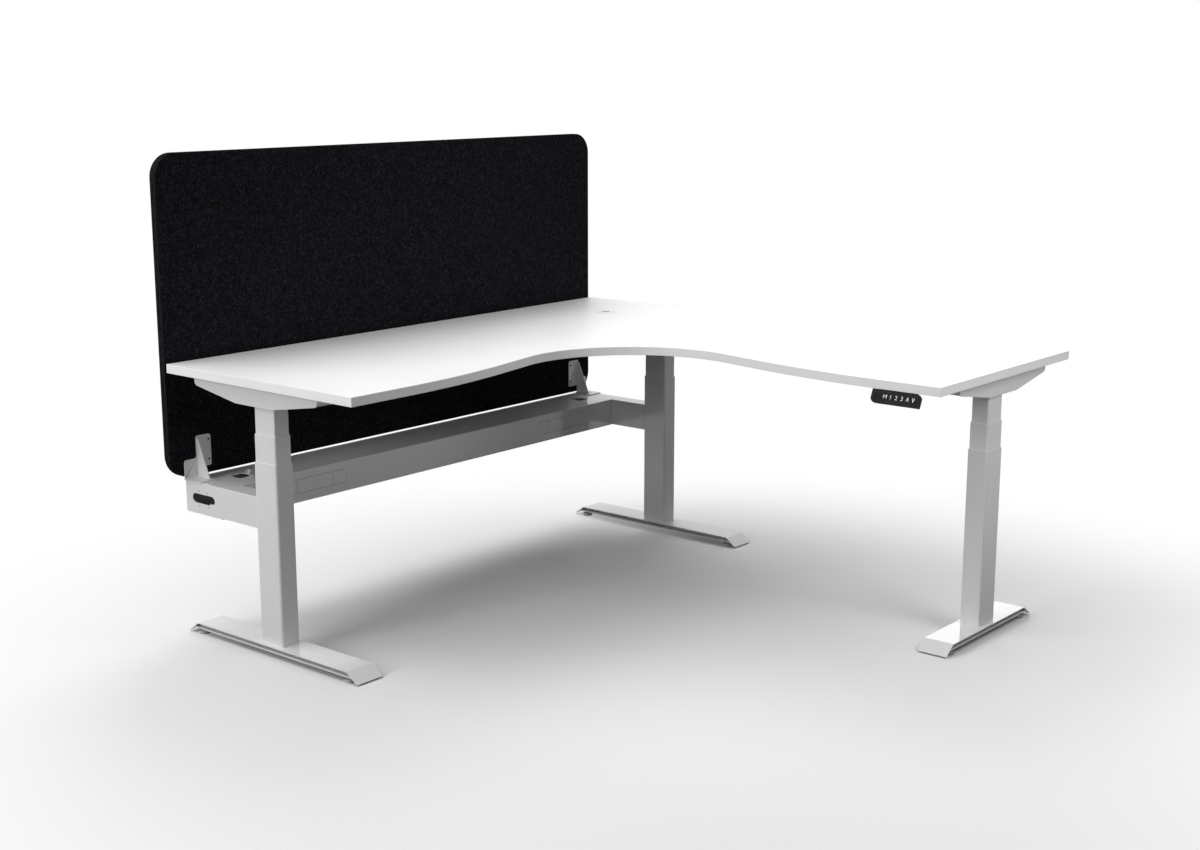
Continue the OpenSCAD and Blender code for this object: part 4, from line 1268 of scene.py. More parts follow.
@dataclass
class Feet:
    """Three folded feet with ends that slope on down, their bolts and their glides."""

    width: float = 90.0
    top: float = 32.0
    clear: float = 4.5
    body: float = 16.0
    sheet: float = 3.0
    slope: float = 38.0
    fold_r: float = 2.5
    recess: float = 6.0
    shift: float = 6.0
    glide_d: float = 32.0
    glide_h: float = 8.0
    glide_inset: float = 44.0
    glide_edge: float = 18.0
    stud_d: float = 8.0
    stud_hole: float = 8.1
    stud_top: float = 27.0
    bolts: tuple[float, float] = (16.0, 30.0)

    def end(self, length: float, z: float, sheets: float = 0.0) -> float:
        """Give how far a sloping end reaches from the foot's middle at a height.

        Args:
            length: The foot's length.
            z: The height above the floor.
            sheets: How many sheets inside the slope's outer face.

        Returns:
            The distance along the foot.
        """
        rise = self.top - self.clear
        run = sheets * self.sheet / math.sin(math.atan2(rise, self.slope))
        return length / 2 - run - (z - self.clear) * self.slope / rise

    def spread(self, length: float, width: float, heights: Sequence[float]) -> Workpiece:
        """Fill the space between the sloping sheets over two heights.

        Args:
            length: The foot's length.
            width: The width of the filling.
            heights: Its lowest and its highest place.

        Returns:
            The filling.
        """
        low, high = heights
        at_low, at_high = self.end(length, low, 1.0), self.end(length, high, 1.0)
        x = -width / 2
        return Workpiece.outline(
            [(x, -at_low, low), (x, at_low, low), (x, at_high, high), (x, -at_high, high)],
            (width, 0, 0),
        )

    def shell(self, length: float) -> Workpiece:
        """Fold the foot and close the groove along its sides with two webs.

        Args:
            length: The foot's length.

        Returns:
            The foot, about its own middle.
        """
        low, high = self.end(length, self.clear), self.end(length, self.top)
        x = -self.width / 2
        foot = Workpiece.outline(
            [
                (x, -low, self.clear), (x, low, self.clear), (x, high, self.top),
                (x, -high, self.top),
            ],
            (self.width, 0, 0),
        )
        foot.round(both(along(Axis.X), spot(z=self.top)), self.fold_r, 3)
        body_low = self.top - self.body
        inside = (body_low + self.sheet, self.top - self.sheet)
        past = self.width + 2 * SLACK
        foot.cut(self.spread(length, past, (self.clear - SLACK, body_low)))
        foot.cut(self.spread(length, past, inside))
        web_w = self.width - 2 * self.recess
        webs = self.spread(length + self.sheet, web_w, (inside[0] - SLACK, inside[1] + SLACK))
        webs.cut(self.spread(length + 4 * self.sheet, web_w - 2 * self.sheet, (0.0, self.top)))
        return foot.join(webs)

    def glide(self) -> Workpiece:
        """Turn one levelling glide with its stud."""
        radius, disc = self.glide_d / 2, self.glide_h
        return Workpiece.lathe(
            [
                (0.0, 0.0), (radius - 1.5, 0.0), (radius - 0.4, 1.0), (radius, 2.2),
                (radius, disc - 1.0), (radius - 1.0, disc), (self.stud_d / 2, disc),
                (self.stud_d / 2, self.stud_top - 0.8),
                (self.stud_d / 2 - 0.8, self.stud_top), (0.0, self.stud_top),
            ],
            steps=48,
        )

    def build(self) -> None:
        """Make the feet, the bolts inside them and the glides under them."""
        glide = self.glide()
        across, lengthwise = self.bolts
        bolt_spots = [
            (x, y) for x in (-across, across) for y in (-lengthwise, lengthwise)
        ]
        bolts = []
        for standing in STANDINGS:
            side = standing.side.value
            stand = standing.matrix()
            reach = standing.foot / 2 - self.glide_inset
            off = self.width / 2 - self.glide_edge
            foot = self.shell(standing.foot).move(y=-self.shift)
            holes = [
                Workpiece.drill((x, y, self.top - self.sheet), Axis.Z, M8_HOLE, self.sheet)
                for x, y in bolt_spots
            ]
            for end, end_name in ((1, "rear"), (-1, "front")):
                for x, twin in ((-off, ""), (off, "_twin")):
                    y = -self.shift + end * reach
                    holes.append(Workpiece.drill(
                        (x, y, self.top - self.body), Axis.Z, self.stud_hole, self.sheet
                    ))
                    pair = f"{side}_{end_name}"
                    glide.copy().move(x, y).put(stand).dress(
                        f"{pair}{twin}_levelling_glide", NYLON, f"{pair}_levellers",
                        f"{pair}_glides", edge=0.0,
                    )
            foot.cut(*holes).put(stand)
            foot.dress(
                f"{side}_folded_foot", POWDER_COAT, "base_frame", f"{side}_foot",
                edge=0.35,
            )
            bolts += [
                (standing.place(x, y, self.top - self.sheet), (0, 0, 1))
                for x, y in bolt_spots
            ]
        glide.scrap()
        Hardware(8.0, 11.0).lay_out(bolts).dress(
            "column_foot_bolts", ZINC, "base_frame", "foot_bolts", edge=0.0
        )


@dataclass
class UnderFrame:
    """The arms and rails that carry the board, with their screws.

    ``main_run`` is the x of the long wing's rail ends, ``return_run`` the y of the return
    wing's, and ``rails_at`` is how far the rails lie from the worktop's back edges.
    ``cutter`` is how far under the board a screw hole's cutter starts, and its length.
    """

    width: float = 70.0
    sheet: float = 2.5
    rear: float = 280.0
    front: float = -225.0
    shallow: float = 28.0
    deep: float = 58.0
    flat_rear: float = 106.0
    flat_front: float = -44.0
    end_r: float = 10.0
    rail_w: float = 40.0
    rail_h: float = 25.0
    rail_sheet: float = 2.0
    rail_r: float = 1.2
    rails_at: tuple[float, float] = (-190.0, -480.0)
    main_run: tuple[float, float] = (-1695.0, -88.0)
    return_run: tuple[float, float] = (-500.0, -1695.0)
    screw_rows: tuple[float, float] = (258.0, -203.0)
    screw_x: float = 17.5
    cutter: tuple[float, float] = (4.0, 6.0)

    def arm(self) -> Workpiece:
        """Fold one arm: a channel that is open below and deepest over its column."""
        x = -self.width / 2
        arm = Workpiece.outline(
            [
                (x, self.rear, UNDERSIDE), (x, self.rear, UNDERSIDE - self.shallow),
                (x, self.flat_rear, UNDERSIDE - self.deep),
                (x, self.flat_front, UNDERSIDE - self.deep),
                (x, self.front, UNDERSIDE - self.shallow), (x, self.front, UNDERSIDE),
            ],
            (self.width, 0, 0),
        )
        ends = either(
            spot(y=self.rear, z=UNDERSIDE - self.shallow),
            spot(y=self.front, z=UNDERSIDE - self.shallow),
        )
        arm.round(both(along(Axis.X), ends), self.end_r, 6)
        arm.delete_faces(lambda _, normal: normal.z < -0.8)
        arm.thicken(self.sheet)
        return arm.cut(*[
            Workpiece.rod((x, y, UNDERSIDE - self.cutter[0]), Axis.Z, M4_HOLE, self.cutter[1], 24)
            for x, y in self.screw_spots()
        ])

    def screw_spots(self) -> list[tuple[float, float]]:
        """Give x and y of the screws of one arm."""
        return [(x, y) for x in (-self.screw_x, self.screw_x) for y in self.screw_rows]

    def rail(self, start: float, end: float) -> Workpiece:
        """Fold one rail along X between two places, with its top at the board."""
        half = self.rail_w / 2
        rail = Workpiece.block(
            (start, -half, UNDERSIDE - self.rail_h), (end, half, UNDERSIDE)
        )
        rail.delete_faces(either(facing(0, 0, -1), facing(1, 0, 0), facing(-1, 0, 0)))
        rail.round(both(along(Axis.X), spot(z=UNDERSIDE)), self.rail_r, 3)
        return rail.thicken(self.rail_sheet)

    def build(self) -> None:
        """Make the three arms, the four rails and the screws into the board."""
        arm = self.arm()
        screws = []
        for standing in STANDINGS:
            side = standing.side.value
            arm.copy().put(standing.matrix()).dress(
                f"{side}_channel_arm", POWDER_COAT, "desk_top", f"{side}_arm", edge=0.3
            )
            screws += [
                (standing.place(x, y, UNDERSIDE - self.sheet), (0, 0, 1))
                for x, y in self.screw_spots()
            ]
        arm.scrap()
        main = [self.rail(*self.main_run).move(y=y) for y in self.rails_at]
        main[0].join(main[1]).dress(
            "long_wing_rails", POWDER_COAT, "desk_top", "main_rails", edge=0.25
        )
        quarter = Matrix.Rotation(-math.pi / 2, 4, "Z")
        start, end = self.return_run
        back = [
            self.rail(0.0, start - end).put(quarter).move(x=x, y=start) for x in self.rails_at
        ]
        back[0].join(back[1]).dress(
            "return_wing_rails", POWDER_COAT, "desk_top", "return_rails", edge=0.25
        )
        Hardware(4.0, 20.3).lay_out(screws).dress(
            "arm_board_screws", ZINC, "desk_top", "board_screws", edge=0.0
        )


@dataclass
class CableBeam:
    """The folded cable beam with its outlets, its two end arms and the clip.

    ``slot`` is the cable slot's length and height, ``slot_place`` the y and z of its
    middle, and ``link`` the spacing in y and z and the diameter of the four holes round
    it. The cutters of the cut-outs and outlets reach ``past`` mm to both sides of the
    face, and ``clip_gap`` is an angle in degrees.
    """

    low: float = 344.0
    height: float = 90.0
    rear: float = 16.0
    front: float = -164.0
    ends: tuple[float, float] = (-1690.0, -80.0)
    outer_end: float = -1748.0
    middle: float = -885.0
    sheet: float = 2.0
    lip: float = 12.0
    cover_play: float = 0.5
    cover_lap: float = 0.3
    fold_r: float = 2.2
    cutout: float = 45.0
    cutout_r: float = 1.5
    cutouts: tuple[float, float] = (-1620.0, -150.0)
    cutout_y: float = -74.0
    past: float = 5.0
    outlets: tuple[float, float] = (-1425.0, -345.0)
    outlet_low: float = 370.0
    outlet_h: float = 42.0
    outlet_widths: tuple[float, float] = (130.0, 50.0)
    mullion: float = 4.0
    play: float = 0.4
    joint: float = 0.9
    panel_r: float = 0.6
    arm_front: float = -310.0
    cap_depth: float = 166.0
    cap_step: float = 2.5
    cap_r: float = 9.0
    edge_r: float = 1.5
    slot: tuple[float, float] = (98.0, 27.0)
    slot_place: tuple[float, float] = (-68.0, 388.0)
    link: tuple[float, float, float] = (39.0, 41.0, 4.5)
    arm_screw: tuple[float, float] = (-1719.0, -290.0)
    base_screw: tuple[float, float] = (-1731.5, -30.5)
    clip_r: float = 7.0
    clip_wall: float = 2.5
    clip_w: float = 8.0
    clip_gap: float = 60.0

    @property
    def high(self) -> float:
        """The height of the beam's top face."""
        return self.low + self.height

    def outlet_spans(self, middle: float) -> list[tuple[float, float]]:
        """Give the left and right edge of the three outlets round a middle."""
        wide, narrow = self.outlet_widths
        off = wide / 2 + self.mullion
        return [
            (middle - wide / 2, middle + wide / 2),
            (middle - off - narrow, middle - off),
            (middle + off, middle + off + narrow),
        ]

    def channel(self) -> Workpiece:
        """Fold the channel, open behind, and cut its outlets and cable cut-outs."""
        channel = Workpiece.block(
            (self.ends[0], self.front, self.low), (self.ends[1], self.rear, self.high)
        )
        channel.delete_faces(
            either(facing(1, 0, 0), facing(-1, 0, 0), facing(0, 1, 0))
        )
        channel.pull(Part.EDGE, spot(y=self.rear, z=self.high), (0, 0, -self.lip))
        channel.pull(Part.EDGE, spot(y=self.rear, z=self.low), (0, 0, self.lip))
        folds = either(*[
            spot(y=y, z=z) for y in (self.front, self.rear) for z in (self.low, self.high)
        ])
        channel.round(both(along(Axis.X), folds), self.fold_r, 4)
        channel.thicken(self.sheet)
        half = self.cutout / 2
        holes = [
            Workpiece.block(
                (x - half, self.cutout_y - half, self.high - self.past),
                (x + half, self.cutout_y + half, self.high + self.past),
            ).round(along(Axis.Z), self.cutout_r, 3)
            for x in self.cutouts
        ]
        for middle in self.outlets:
            for left, right in self.outlet_spans(middle):
                holes.append(Workpiece.block(
                    (left, self.front - self.past, self.outlet_low),
                    (right, self.front + self.past, self.outlet_low + self.outlet_h),
                ))
        holes += [
            Workpiece.drill((x, self.rear - self.sheet, z), Axis.Y, M4_HOLE, self.sheet)
            for x, z in self.cover_spots()
        ]
        return channel.cut(*holes)

    def cover_spots(self) -> list[tuple[float, float]]:
        """Give x and z of the screws that hold the cover to the lips."""
        lip_mid = (self.lip + self.sheet) / 2
        return [
            (x, z)
            for x in (self.cutouts[0], self.middle, self.cutouts[1])
            for z in (self.low + lip_mid, self.high - lip_mid)
        ]

    def cover(self) -> Workpiece:
        """Cut the plate that closes the channel's back from inside its lips."""
        inset = self.sheet + self.cover_play
        plate = Workpiece.block(
            (self.ends[0] - self.cover_lap, self.rear - 2 * self.sheet, self.low + inset),
            (self.ends[1] + self.cover_lap, self.rear - self.sheet, self.high - inset),
        )
        return plate.cut(*[
            Workpiece.drill((x, self.rear - 2 * self.sheet, z), Axis.Y, M4_HOLE, self.sheet)
            for x, z in self.cover_spots()
        ])

    def panels(self, middle: float) -> tuple[Workpiece, Workpiece]:
        """Cut the three outlet panels round a middle and the dark sheet behind them.

        Args:
            middle: The x of the middle panel's middle.

        Returns:
            The panels, and the dark sheet behind them, which shows through the joints as painted
            shade.
        """
        faces, shade_backings = [], []
        low, high = self.outlet_low, self.outlet_low + self.outlet_h
        face = self.front + self.sheet
        for left, right in self.outlet_spans(middle):
            faces.append(Workpiece.block(
                (left + self.joint, self.front, low + self.joint),
                (right - self.joint, face, high - self.joint),
            ).round(along(Axis.Y), self.panel_r, 2))
            # A charcoal sheet behind each outlet: painted shade that shows through the gaps round
            # the panels as dark joint lines.
            shade_backings.append(Workpiece.block(
                (left - 2 * self.play, face, low - self.sheet),
                (right + 2 * self.play, face + self.sheet, high + self.sheet),
            ))
        return faces[0].join(*faces[1:]), shade_backings[0].join(*shade_backings[1:])

    def arm(self) -> Workpiece:
        """Fold the left end arm with its cap, cable slot and link holes."""
        outer, inner = self.outer_end, self.ends[0]
        floor = self.low + self.cap_step
        arm = Workpiece.block((outer, self.arm_front, floor), (inner, self.rear, self.high))
        arm.round(both(along(Axis.Z), spot(x=outer, y=self.rear)), self.cap_r, 6)
        cap_start = self.rear - self.cap_depth
        arm.slice((0, cap_start, 0), Axis.Y)
        arm.pull(
            Part.FACE,
            both(facing(0, 0, -1), lambda m, _: m.y > cap_start),
            (0, 0, -self.cap_step),
        )
        mouth = self.front + self.sheet
        arm.slice((0, mouth, 0), Axis.Y)
        arm.delete_faces(both(facing(1, 0, 0), lambda m, _: m.y > mouth))
        outer_edges = both(
            lambda _, run: abs(run.z) < 0.05,
            lambda m, _: m.x < inner - SLACK and abs(m.z - self.high) < 0.5,
            lambda m, _: m.y < self.rear - self.cap_r,
        )
        arm.round(both(outer_edges, spot(x=outer)), self.edge_r, 3)
        arm.thicken(self.sheet)
        y, z = self.slot_place
        length, height = self.slot
        straight = (length - height) / 2
        reach = outer - SLACK
        deep = self.sheet + 2 * SLACK
        slot = Workpiece.block(
            (reach, y - straight - height / 2, z - height / 2),
            (reach + deep, y + straight + height / 2, z + height / 2),
        )
        # A hair under half the height, so that the two rounds of an end don't quite meet.
        slot.round(along(Axis.X), height / 2 - 0.01, 10)
        arm_mid = (outer + inner) / 2
        across, up, link_d = self.link
        holes = [
            slot,
            *[
                Workpiece.drill((outer, y + dy, z + dz), Axis.X, link_d, self.sheet)
                for dy in (-across / 2, across / 2) for dz in (-up / 2, up / 2)
            ],
            *[
                Workpiece.drill((arm_mid, self.arm_front, level), Axis.Y, M6_HOLE, self.sheet)
                for level in BEAM_BOLT_HEIGHTS
            ],
            *[
                Workpiece.drill((*hole, self.high - self.sheet), Axis.Z, M4_HOLE, self.sheet)
                for hole in (self.arm_screw, self.base_screw)
            ],
        ]
        return arm.cut(*holes)

    def clip(self) -> Workpiece:
        """Bend the open clip ring that stands beside the left cut-out."""
        radius, wall, width, gap = self.clip_r, self.clip_wall, self.clip_w, self.clip_gap
        ring = Workpiece.lathe(
            [
                (radius - wall, -width / 2), (radius, -width / 2), (radius, width / 2),
                (radius - wall, width / 2),
            ],
            steps=30, angle=360.0 - gap, closed=True,
        )
        with ring.editing(Part.EDGE):
            bpy.ops.mesh.select_non_manifold(extend=False)
            bpy.ops.mesh.edge_face_add()
            ring.right_way_out()
        ring.put(Matrix.Rotation(math.radians(90 + gap / 2), 4, "Z"))
        ring.put(Axis.X.turn)
        base = Workpiece.block(
            (-width / 2, -radius / 2, -radius), (width / 2, radius / 2, -radius + wall)
        )
        return ring.join(base).move(
            self.cutouts[0] + self.cutout / 2 + width / 2, self.cutout_y, self.high + radius
        )

    def build(self) -> None:
        """Make the beam and hang its pieces on the fixed frame."""
        body = "base_frame"
        self.channel().dress(
            "folded_cable_beam", POWDER_COAT, body, "cable_beam", edge=0.25
        )
        self.cover().dress(
            "beam_back_cover", POWDER_COAT, body, "beam_cover", edge=0.2, steps=1
        )
        arm = self.arm()
        arm.copy().mirror(self.middle).dress(
            "corner_end_arm", POWDER_COAT, body, "corner_beam_arm", edge=0.25
        )
        arm.dress("left_end_arm", POWDER_COAT, body, "left_beam_arm", edge=0.25)
        for side, middle in zip((Side.LEFT, Side.CORNER), self.outlets):
            faces, carrier = self.panels(middle)
            faces.dress(
                f"{side.value}_outlet_plates", POWDER_COAT, body,
                f"{side.value}_outlet_panels", edge=0.2, steps=1,
            )
            # The charcoal sheet behind the panels is painted shade in the joints.
            carrier.dress(
                f"{side.value}_outlet_carrier", MOULDED_ABS, body, edge=0.2, steps=1
            )
        self.clip().dress("lead_clip", ACETAL, body, "cable_clip", edge=0.3)


@dataclass
class PrivacyScreen:
    """The felt screen with its core and the two brackets that hold it.

    ``layers`` are the y of the screen's four faces, from the front felt to the rear one.
    """

    width: float = 1800.0
    low: float = 440.0
    high: float = 1340.0
    corner_r: float = 66.0
    layers: tuple[float, float, float, float] = (8.0, 16.0, 19.0, 33.0)
    front_r: float = 2.2
    rear_r: float = 3.0
    seam_r: float = 1.0
    core_inset: float = 1.5
    beam: CableBeam = field(default_factory=CableBeam)
    bracket_t: float = 3.0
    bracket_h: float = 119.0
    free_edge: float = -1660.0
    fold: float = -1710.0
    wing_end: float = -1753.0
    wing_h: float = 55.0
    foot_h: float = 28.0
    web_top: float = 6.0
    web_foot: float = 52.0
    base_depth: float = 71.0
    base_w: float = 55.0
    base_r: float = 3.0
    corner: float = 8.0
    screw_edge: float = 7.6
    upright_screws: tuple[float, float] = (46.2, 103.8)
    small_head: float = 0.72

    def layer(self, near: float, far: float, inset: float) -> Workpiece:
        """Cut one layer of the screen to its rounded outline.

        Args:
            near: Its front face's y.
            far: Its rear face's y.
            inset: How far inside the screen's outline it ends.

        Returns:
            The layer.
        """
        layer = Workpiece.block(
            (-self.width + inset, near, self.low + inset),
            (-inset, far, self.high - inset),
        )
        return layer.round(along(Axis.Y), self.corner_r - inset, 18)

    def build_screen(self) -> None:
        """Make the two felts and the core between them."""
        front, core, back, rear = self.layers
        face = self.layer(front, core, 0.0)
        face.round(spot(y=front), self.front_r, 4)
        face.round(spot(y=core), self.seam_r, 2)
        face.dress(
            "front_felt", FELT, "base_frame", "screen_front_panel", edge=0.0, smooth=60.0
        )
        self.layer(core, back, self.core_inset).dress(
            "screen_core_board", SEAM_BOARD, "base_frame", "screen_core", edge=0.3
        )
        reverse = self.layer(back, rear, 0.0)
        reverse.round(spot(y=rear), self.rear_r, 4)
        reverse.round(spot(y=back), self.seam_r, 2)
        reverse.dress(
            "rear_felt", FELT, "base_frame", "screen_rear_panel", edge=0.0, smooth=60.0
        )

    def bracket(self) -> Workpiece:
        """Weld one bracket from its upright, its web and its base."""
        near = self.layers[0] - self.bracket_t
        z = self.beam.high
        upright = Workpiece.outline(
            [
                (self.wing_end, near, z), (self.fold + self.web_top, near, z),
                (self.fold + self.web_top, near, z + self.foot_h),
                (self.free_edge, near, z + self.foot_h),
                (self.free_edge, near, z + self.bracket_h),
                (self.fold, near, z + self.bracket_h), (self.fold, near, z + self.wing_h),
                (self.wing_end, near, z + self.wing_h),
            ],
            (0, self.bracket_t, 0),
        )
        rounds = either(
            spot(x=self.free_edge, z=z + self.bracket_h),
            spot(x=self.fold, z=z + self.bracket_h),
            spot(x=self.fold, z=z + self.wing_h), spot(x=self.wing_end, z=z + self.wing_h),
        )
        upright.round(both(along(Axis.Y), rounds), self.corner, 6)
        small = spot(x=self.free_edge, z=z + self.foot_h)
        upright.round(both(along(Axis.Y), small), self.corner / 2, 4)
        web_x = self.fold + self.bracket_t / 2
        inside = near + self.bracket_t / 2
        web = Workpiece.outline(
            [
                (web_x, inside, z + SLACK), (web_x, inside, z + self.bracket_h - self.corner),
                (web_x, near - self.web_top, z + self.bracket_h - self.corner),
                (web_x, near - self.web_foot, z + SLACK),
            ],
            (self.bracket_t, 0, 0),
        )
        base_front = near + self.bracket_t - self.base_depth
        base = Workpiece.block(
            (self.wing_end, base_front, z),
            (self.wing_end + self.base_w, near + self.bracket_t, z + self.bracket_t),
        )
        base.round(both(along(Axis.Z), spot(y=base_front)), self.base_r, 4)
        upright.weld(base, web)
        screw_x = self.free_edge - self.screw_edge
        holes = [
            Workpiece.drill((screw_x, near, z + h), Axis.Y, M4_HOLE, self.bracket_t)
            for h in self.upright_screws
        ]
        holes.append(
            Workpiece.drill((*self.beam.base_screw, z), Axis.Z, M4_HOLE, self.bracket_t)
        )
        return upright.cut(*holes)

    def build_screws(self) -> None:
        """Set the screws of the brackets and of the beam's arms, on both sides."""
        near = self.layers[0] - self.bracket_t
        beam = self.beam
        z = beam.high
        screw_x = self.free_edge - self.screw_edge
        face_y = beam.arm_front + beam.sheet
        into_screen = [((screw_x, near, z + h), (0, 1, 0)) for h in self.upright_screws]
        into_arm = [((*beam.arm_screw, z), (0, 0, -1))]
        through_base = [((*beam.base_screw, z + self.bracket_t), (0, 0, -1))]
        into_column = [((beam.arm_screw[0], face_y, h), (0, -1, 0)) for h in BEAM_BOLT_HEIGHTS]
        cover = [((x, beam.rear, z), (0, -1, 0)) for x, z in beam.cover_spots()]
        painted = [
            self.on_both_sides(Hardware(4.0, 2.0, self.small_head), into_arm),
            self.on_both_sides(Hardware(4.0, 5.0, self.small_head), through_base),
            self.on_both_sides(Hardware(6.0, 3.5), into_column),
            Hardware(4.0, 4.0).lay_out(cover),
        ]
        painted[0].join(*painted[1:]).dress(
            "coated_frame_screws", POWDER_COAT, "base_frame", "frame_screws", edge=0.0
        )
        self.on_both_sides(Hardware(4.0, 9.0, self.small_head), into_screen).dress(
            "black_screen_screws", BLACK_ZINC, "base_frame", edge=0.0
        )

    def on_both_sides(
        self, screw: Hardware, places: Sequence[tuple[Place, Place]]
    ) -> Workpiece:
        """Set screws at the left end and at the same places of the right end.

        Args:
            screw: The screw.
            places: Where the left ones sit and which way their shanks run.

        Returns:
            All of them as one workpiece.
        """
        middle = self.beam.middle
        right = [((2 * middle - x, y, z), way) for (x, y, z), way in places]
        return screw.lay_out([*places, *right])

    def build(self) -> None:
        """Make the screen, its brackets and the screws."""
        self.build_screen()
        bracket = self.bracket()
        bracket.copy().mirror(self.beam.middle).dress(
            "corner_bracket_sheet", POWDER_COAT, "base_frame", "corner_screen_bracket",
            edge=0.3,
        )
        bracket.dress(
            "left_bracket_sheet", POWDER_COAT, "base_frame", "left_screen_bracket",
            edge=0.3,
        )
        self.build_screws()


class Key(Enum):
    """The handset's six keys: the legend on each, in order along the face."""

    MEMORY = "M"
    ONE = "1"
    TWO = "2"
    THREE = "3"
    UP = "up"
    DOWN = "down"


@dataclass
class Handset:
    """The handset under the return wing's edge, with its window, keys and legends.

    A capital letter fills ``letter_share`` of its font's size, and an arrow head reaches
    ``arrow_reach`` of the legends' height to each side. ``tilt`` is in degrees.
    """

    length: float = 142.0
    face: float = 36.0
    thickness: float = 14.0
    tilt: float = 24.0
    middle_y: float = -1672.0
    edge_x: float = -750.0
    cut_corner: float = 8.0
    case_r: float = 1.2
    rim_r: float = 1.0
    pitch: float = 16.6
    last_key: float = 17.0
    key: tuple[float, float, float] = (13.0, 15.0, 2.4)
    key_r: float = 0.9
    key_rim_r: float = 0.35
    proud: float = 0.6
    play: float = 0.3
    window: tuple[float, float, float] = (22.0, 15.0, 1.5)
    window_x: float = -51.0
    tongue: tuple[float, float, float] = (52.0, 110.0, 4.0)
    tongue_set: float = 5.0
    tongue_r: float = 6.0
    legend_h: float = 11.5
    legend_t: float = 0.08
    letter_share: float = 0.7
    arrow_reach: float = 0.36
    arrow_arm: float = 1.6
    screw_reach: float = 41.8
    screw_spread: float = 110.0 / 3

    def screw_places(self) -> list[Place]:
        """Give the places of the tongue's screws, at its underside."""
        x, z = self.edge_x + self.screw_reach, UNDERSIDE - self.tongue[2]
        return [(x, self.middle_y + s * self.screw_spread, z) for s in (-1, 1)]

    def seat(self) -> Matrix:
        """The move from the face's own frame to its place under the edge, in metres."""
        lean = Matrix.Rotation(math.radians(90.0 - self.tilt), 4, "X")
        turn = Matrix.Rotation(-math.pi / 2, 4, "Z")
        place = Matrix.Translation((mm(self.edge_x), mm(self.middle_y), mm(UNDERSIDE)))
        return place @ turn @ lean @ Matrix.Translation((0.0, mm(-self.face), 0.0))

    def key_x(self, number: int) -> float:
        """The middle of a key along the face."""
        return self.length / 2 - self.last_key - self.pitch * (len(Key) - 1 - number)

    def pocket(self, x: float, width: float, height: float, deep: float) -> Workpiece:
        """Make the cutter of a pocket in the face.

        Args:
            x: The pocket's middle along the face.
            width: Its width.
            height: Its height.
            deep: Its depth.

        Returns:
            The cutter.
        """
        mid = self.face / 2
        return Workpiece.block(
            (x - width / 2, mid - height / 2, -deep),
            (x + width / 2, mid + height / 2, SLACK),
        )

    def housing(self) -> Workpiece:
        """Mould the housing with its pockets and the tongue that is screwed up."""
        w, c, h = self.length / 2, self.cut_corner, self.face
        case = Workpiece.outline(
            [
                (-w + c, 0, -self.thickness), (w, 0, -self.thickness),
                (w, h - c, -self.thickness), (w - c, h, -self.thickness),
                (-w, h, -self.thickness), (-w, c, -self.thickness),
            ],
            (0, 0, self.thickness),
        )
        case.round(along(Axis.Z), self.case_r, 3)
        case.round(spot(z=0.0), self.rim_r, 3)
        pockets = [
            self.pocket(
                self.key_x(n), self.key[0] + 2 * self.play, self.key[1] + 2 * self.play,
                self.key[2] + self.play,
            )
            for n in range(len(Key))
        ]
        pockets.append(self.pocket(
            self.window_x, self.window[0] + self.play, self.window[1] + self.play,
            self.window[2],
        ))
        case.cut(*pockets)
        case.put(self.seat())
        start = self.edge_x + self.tongue_set
        half = self.tongue[1] / 2
        tongue = Workpiece.block(
            (start, self.middle_y - half, UNDERSIDE - self.tongue[2]),
            (start + self.tongue[0], self.middle_y + half, UNDERSIDE),
        )
        tongue.round(
            both(along(Axis.Z), spot(x=start + self.tongue[0])), self.tongue_r, 5
        )
        root = Workpiece.block(
            (start, self.middle_y - half, UNDERSIDE - self.tongue[2] - self.tongue_set),
            (self.edge_x + self.thickness, self.middle_y + half, UNDERSIDE),
        )
        case.weld(tongue, root)
        return case.cut(*[
            Workpiece.drill(place, Axis.Z, M4_HOLE, self.tongue[2], 24)
            for place in self.screw_places()
        ])

    def chevron(self, up: bool) -> Workpiece:
        """Draw an arrow head about the origin, pointing up or down."""
        reach, rise, arm = self.legend_h * self.arrow_reach, self.legend_h / 2, self.arrow_arm
        sign = 1.0 if up else -1.0
        points = [
            (-reach, -rise), (-reach + arm, -rise), (0.0, rise - 2 * arm),
            (reach - arm, -rise), (reach, -rise), (arm / 2, rise), (-arm / 2, rise),
        ]
        return Workpiece.outline(
            [(x, y * sign, 0.0) for x, y in points], (0, 0, self.legend_t)
        )

    def letter(self, text: str) -> Workpiece:
        """Write one character about the origin and turn it into a mesh."""
        release()
        bpy.ops.object.text_add()
        words = bpy.context.object
        words.data.body = text
        words.data.size = mm(self.legend_h / self.letter_share)
        words.data.extrude = mm(self.legend_t / 2)
        words.data.align_x = "CENTER"
        bpy.ops.object.convert(target="MESH")
        letter = Workpiece(bpy.context.object).settle()
        with letter.editing(Part.VERT):
            bpy.ops.mesh.select_all(action="SELECT")
            bpy.ops.mesh.remove_doubles(threshold=1e-6)
            letter.right_way_out()
        return letter.move(y=-self.legend_h / 2, z=self.legend_t / 2)

